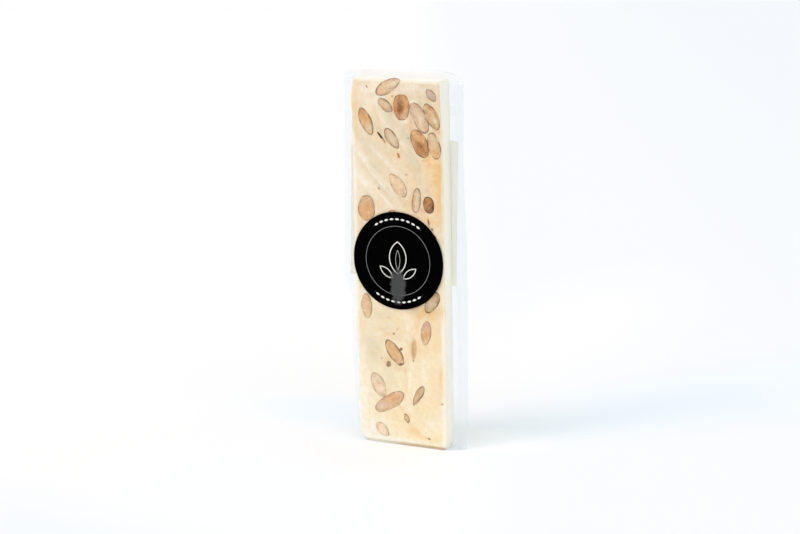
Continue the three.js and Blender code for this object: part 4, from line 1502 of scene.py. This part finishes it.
# %% Leaves of the print
INK_BLACK = colour(1, 1, 1)
INK_PALE = colour(228, 228, 224)
RING_RADIUS = 17.7
RING_LINE = 0.13
GARLAND_RADIUS = 21.3
GARLAND_LEAVES = 44
GARLAND_HALF = math.radians(38)
LEAVES = {
    # its middle from the label's, lean (degrees), half length and width, half its line (mm), strength
    "nut": (0, 1.5, 0, 8.2, 4.6, 0.22, 1), "seam": (0, 0.4, 0, 5.0, 1.2, 0.10, 0.6),
    "left leaf": (-6.4, -6.2, -52, 4.4, 1.7, 0.20, 1), "right leaf": (6.4, -6.2, 52, 4.4, 1.7, 0.20, 1),
}
SOFT = 0.05


def leaf(along, across, half_length, half_width):
    """How far outside a pointed leaf a point is, in mm: below 0 inside it."""
    bow = (half_length ** 2 + half_width ** 2) / (2 * half_width)
    return (along ** 2 + (abs(across) + (bow - half_width)) ** 2) ** 0.5 - bow


def leaf_at(point, middle, lean, half_length, half_width):
    """A leaf with its middle at a place of the label and its tip leaning from upright."""
    angle = math.radians(lean)
    tip = (math.sin(angle), 0, math.cos(angle))
    side = (math.cos(angle), 0, -math.sin(angle))
    along = point.dot(tip) - Vector(tip).dot(middle)
    across = point.dot(side) - Vector(side).dot(middle)
    return leaf(along, across, half_length, half_width)


print("the print has", len(LEAVES), "drawn leaves and a garland of small ones")

# %% [markdown]
# The black coating is dull and catches specks of dust, and below the almond a grey
# patch is painted for a soft sheen of reflected light.

# %% Front label finish
label_finish, place = new_finish("black_label_print")
tree = label_finish.node_tree
x, _, z = place.parts()
x, z = x - LABEL_MIDDLE.x / MM, z - LABEL_MIDDLE.y / MM
radius = (x ** 2 + z ** 2) ** 0.5
angle = x.math("ARCTAN2", x, z)
ring = 1 - abs(radius - RING_RADIUS).rise(RING_LINE / 2 - SOFT / 2, RING_LINE / 2 + SOFT)
turns = angle * (GARLAND_LEAVES / math.tau)
from_leaf = (turns - turns.math("ROUND", turns)) * (math.tau / GARLAND_LEAVES * GARLAND_RADIUS)
garland = 1 - leaf(from_leaf, radius - GARLAND_RADIUS, 1.15, 0.5).rise(-SOFT, SOFT)
from_end = abs(x.math("ARCTAN2", x, abs(z)))
garland = garland * (1 - from_end.rise(GARLAND_HALF, GARLAND_HALF + 0.005))
middle = Vector((LABEL_MIDDLE.x, 0, LABEL_MIDDLE.y)) / MM
ink = garland
for right, up, lean, half_length, half_width, half_line, strength in LEAVES.values():
    off_leaf = leaf_at(place, middle + Vector((right, 0, up)), lean, half_length, half_width)
    ink = ink.most((1 - abs(off_leaf).rise(half_line, half_line + SOFT)) * strength)
sheet = mix(ring * 0.5, INK_BLACK, INK_PALE)
sheet = mix(ink, sheet, INK_PALE)
dust = place.speckle(0.35, detail=1, seed=42).rise(0.70, 0.76)
dust = dust * place.speckle(5, detail=1, seed=43).rise(0.5, 0.65)
sheet = mix(dust * 0.5, sheet, colour(110, 116, 112))
# painted sheen: a grey patch below the almond in place of a soft reflection
ragged = 1.4 * (place.speckle(2.4, detail=2, seed=44) - 0.5)
painted_sheen = ((x + 0.2) / 4.6) ** 2 + ((z + 13) / 9.5) ** 2 + ragged
sheet = mix((1 - painted_sheen.rise(0.5, 1.1)) * 0.9, sheet, colour(76, 77, 77))
grain = place.speckle(0.4, detail=2, seed=41)
cover(label_finish, node(tree, "ShaderNodeBsdfPrincipled", values={
    "Base Color": sheet, "Roughness": 0.38, "Specular IOR Level": 0.025,
    "Normal": bumps(grain, 0.01 * MM)}))
front_label.data.materials.append(label_finish)
belongs(front_label, "black_label", "front_label")

# %% [markdown]
# ## The back label
#
# A square of cream paper, wider than the bar, so both its sides follow the film
# round. It is a grid, turned a little as it was stuck on, laid against the film in
# the same way as the front label.

# %% Back label
BACK_WIDTH = 59.2 * MM
BACK_SHIFT = -0.6 * MM
BACK_HEIGHT = 73.6 * MM
BACK_TURN = 1.6

bpy.ops.object.select_all(action="DESELECT")
bpy.ops.mesh.primitive_grid_add(
    x_subdivisions=60, y_subdivisions=24, size=1, rotation=(math.pi / 2, 0, math.pi))
bpy.context.object.scale = (BACK_WIDTH, BACK_HEIGHT, 1)
back_label = added("back_label_paper")
back_label.data.transform(
    Matrix.Translation((BACK_MIDDLE.x + BACK_SHIFT, FILM_Y + LABEL_LIFT, BACK_MIDDLE.y))
    @ Matrix.Rotation(math.radians(BACK_TURN), 4, "Y"))
for vertex in back_label.data.vertices:
    side = 1 if vertex.co.x > 0 else -1
    vertex.co = folded(vertex.co, side, 1, LABEL_LIFT)
modify(back_label, "SOLIDIFY", thickness=PAPER, offset=1)
smooth(back_label, 30)
print("the back label is turned by", BACK_TURN, "degrees")

# %% [markdown]
# The back label is plain cream paper with a thin ruled frame. Where it stands free
# beside the bar, light comes through it, so a translucent shader is mixed in there.

# %% Back label finish
THROUGH_FREE = 0.72
THROUGH_LYING = 0.10
FRAME_IN = 4
EDGE_SOFT = 0.8

back_finish, place = new_finish("cream_paper")
tree = back_finish.node_tree
x, _, z = place.parts()
fibres = place.speckle(0.6, detail=4, seed=51)
cloudy = place.speckle(14, detail=2, seed=52).rise(0.3, 0.7)
paper = mix(cloudy, colour(253, 247, 230), colour(249, 242, 224))
paper = mix(fibres.rise(0.6, 0.8) * 0.25, paper, colour(236, 224, 202))
beside = abs(x - (BACK_MIDDLE.x + BACK_SHIFT) / MM)
above = abs(z - BACK_MIDDLE.y / MM)
inside = (BACK_WIDTH / 2 / MM - beside).least(BACK_HEIGHT / 2 / MM - above)
rule = 1 - abs(inside - FRAME_IN).rise(0.15, 0.2)
paper = mix(rule * 0.7, paper, colour(176, 150, 112))
face = node(tree, "ShaderNodeBsdfPrincipled", values={
    "Base Color": paper, "Roughness": 0.8, "Specular IOR Level": 0.2,
    "Normal": bumps(fibres, 0.03 * MM)})
glow = node(tree, "ShaderNodeBsdfTranslucent", values={"Color": (1.0, 0.98, 0.92, 1)})
free = beside.rise(BAR_WIDTH / 2 / MM - EDGE_SOFT, BAR_WIDTH / 2 / MM + EDGE_SOFT)
cover(back_finish, node(tree, "ShaderNodeMixShader", values={
    0: THROUGH_LYING + (THROUGH_FREE - THROUGH_LYING) * free, 1: face, 2: glow}))
back_label.data.materials.append(back_finish)
belongs(back_label, "cream_paper", "back_label")

# %% Size and finish
boxes = {"packed": [list(corner) for corner in cad_bounds],
         "dressed": [list(corner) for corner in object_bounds()]}
print("dressed size in mm:", [round((high - low) / MM, 1) for low, high in zip(*boxes["dressed"])])
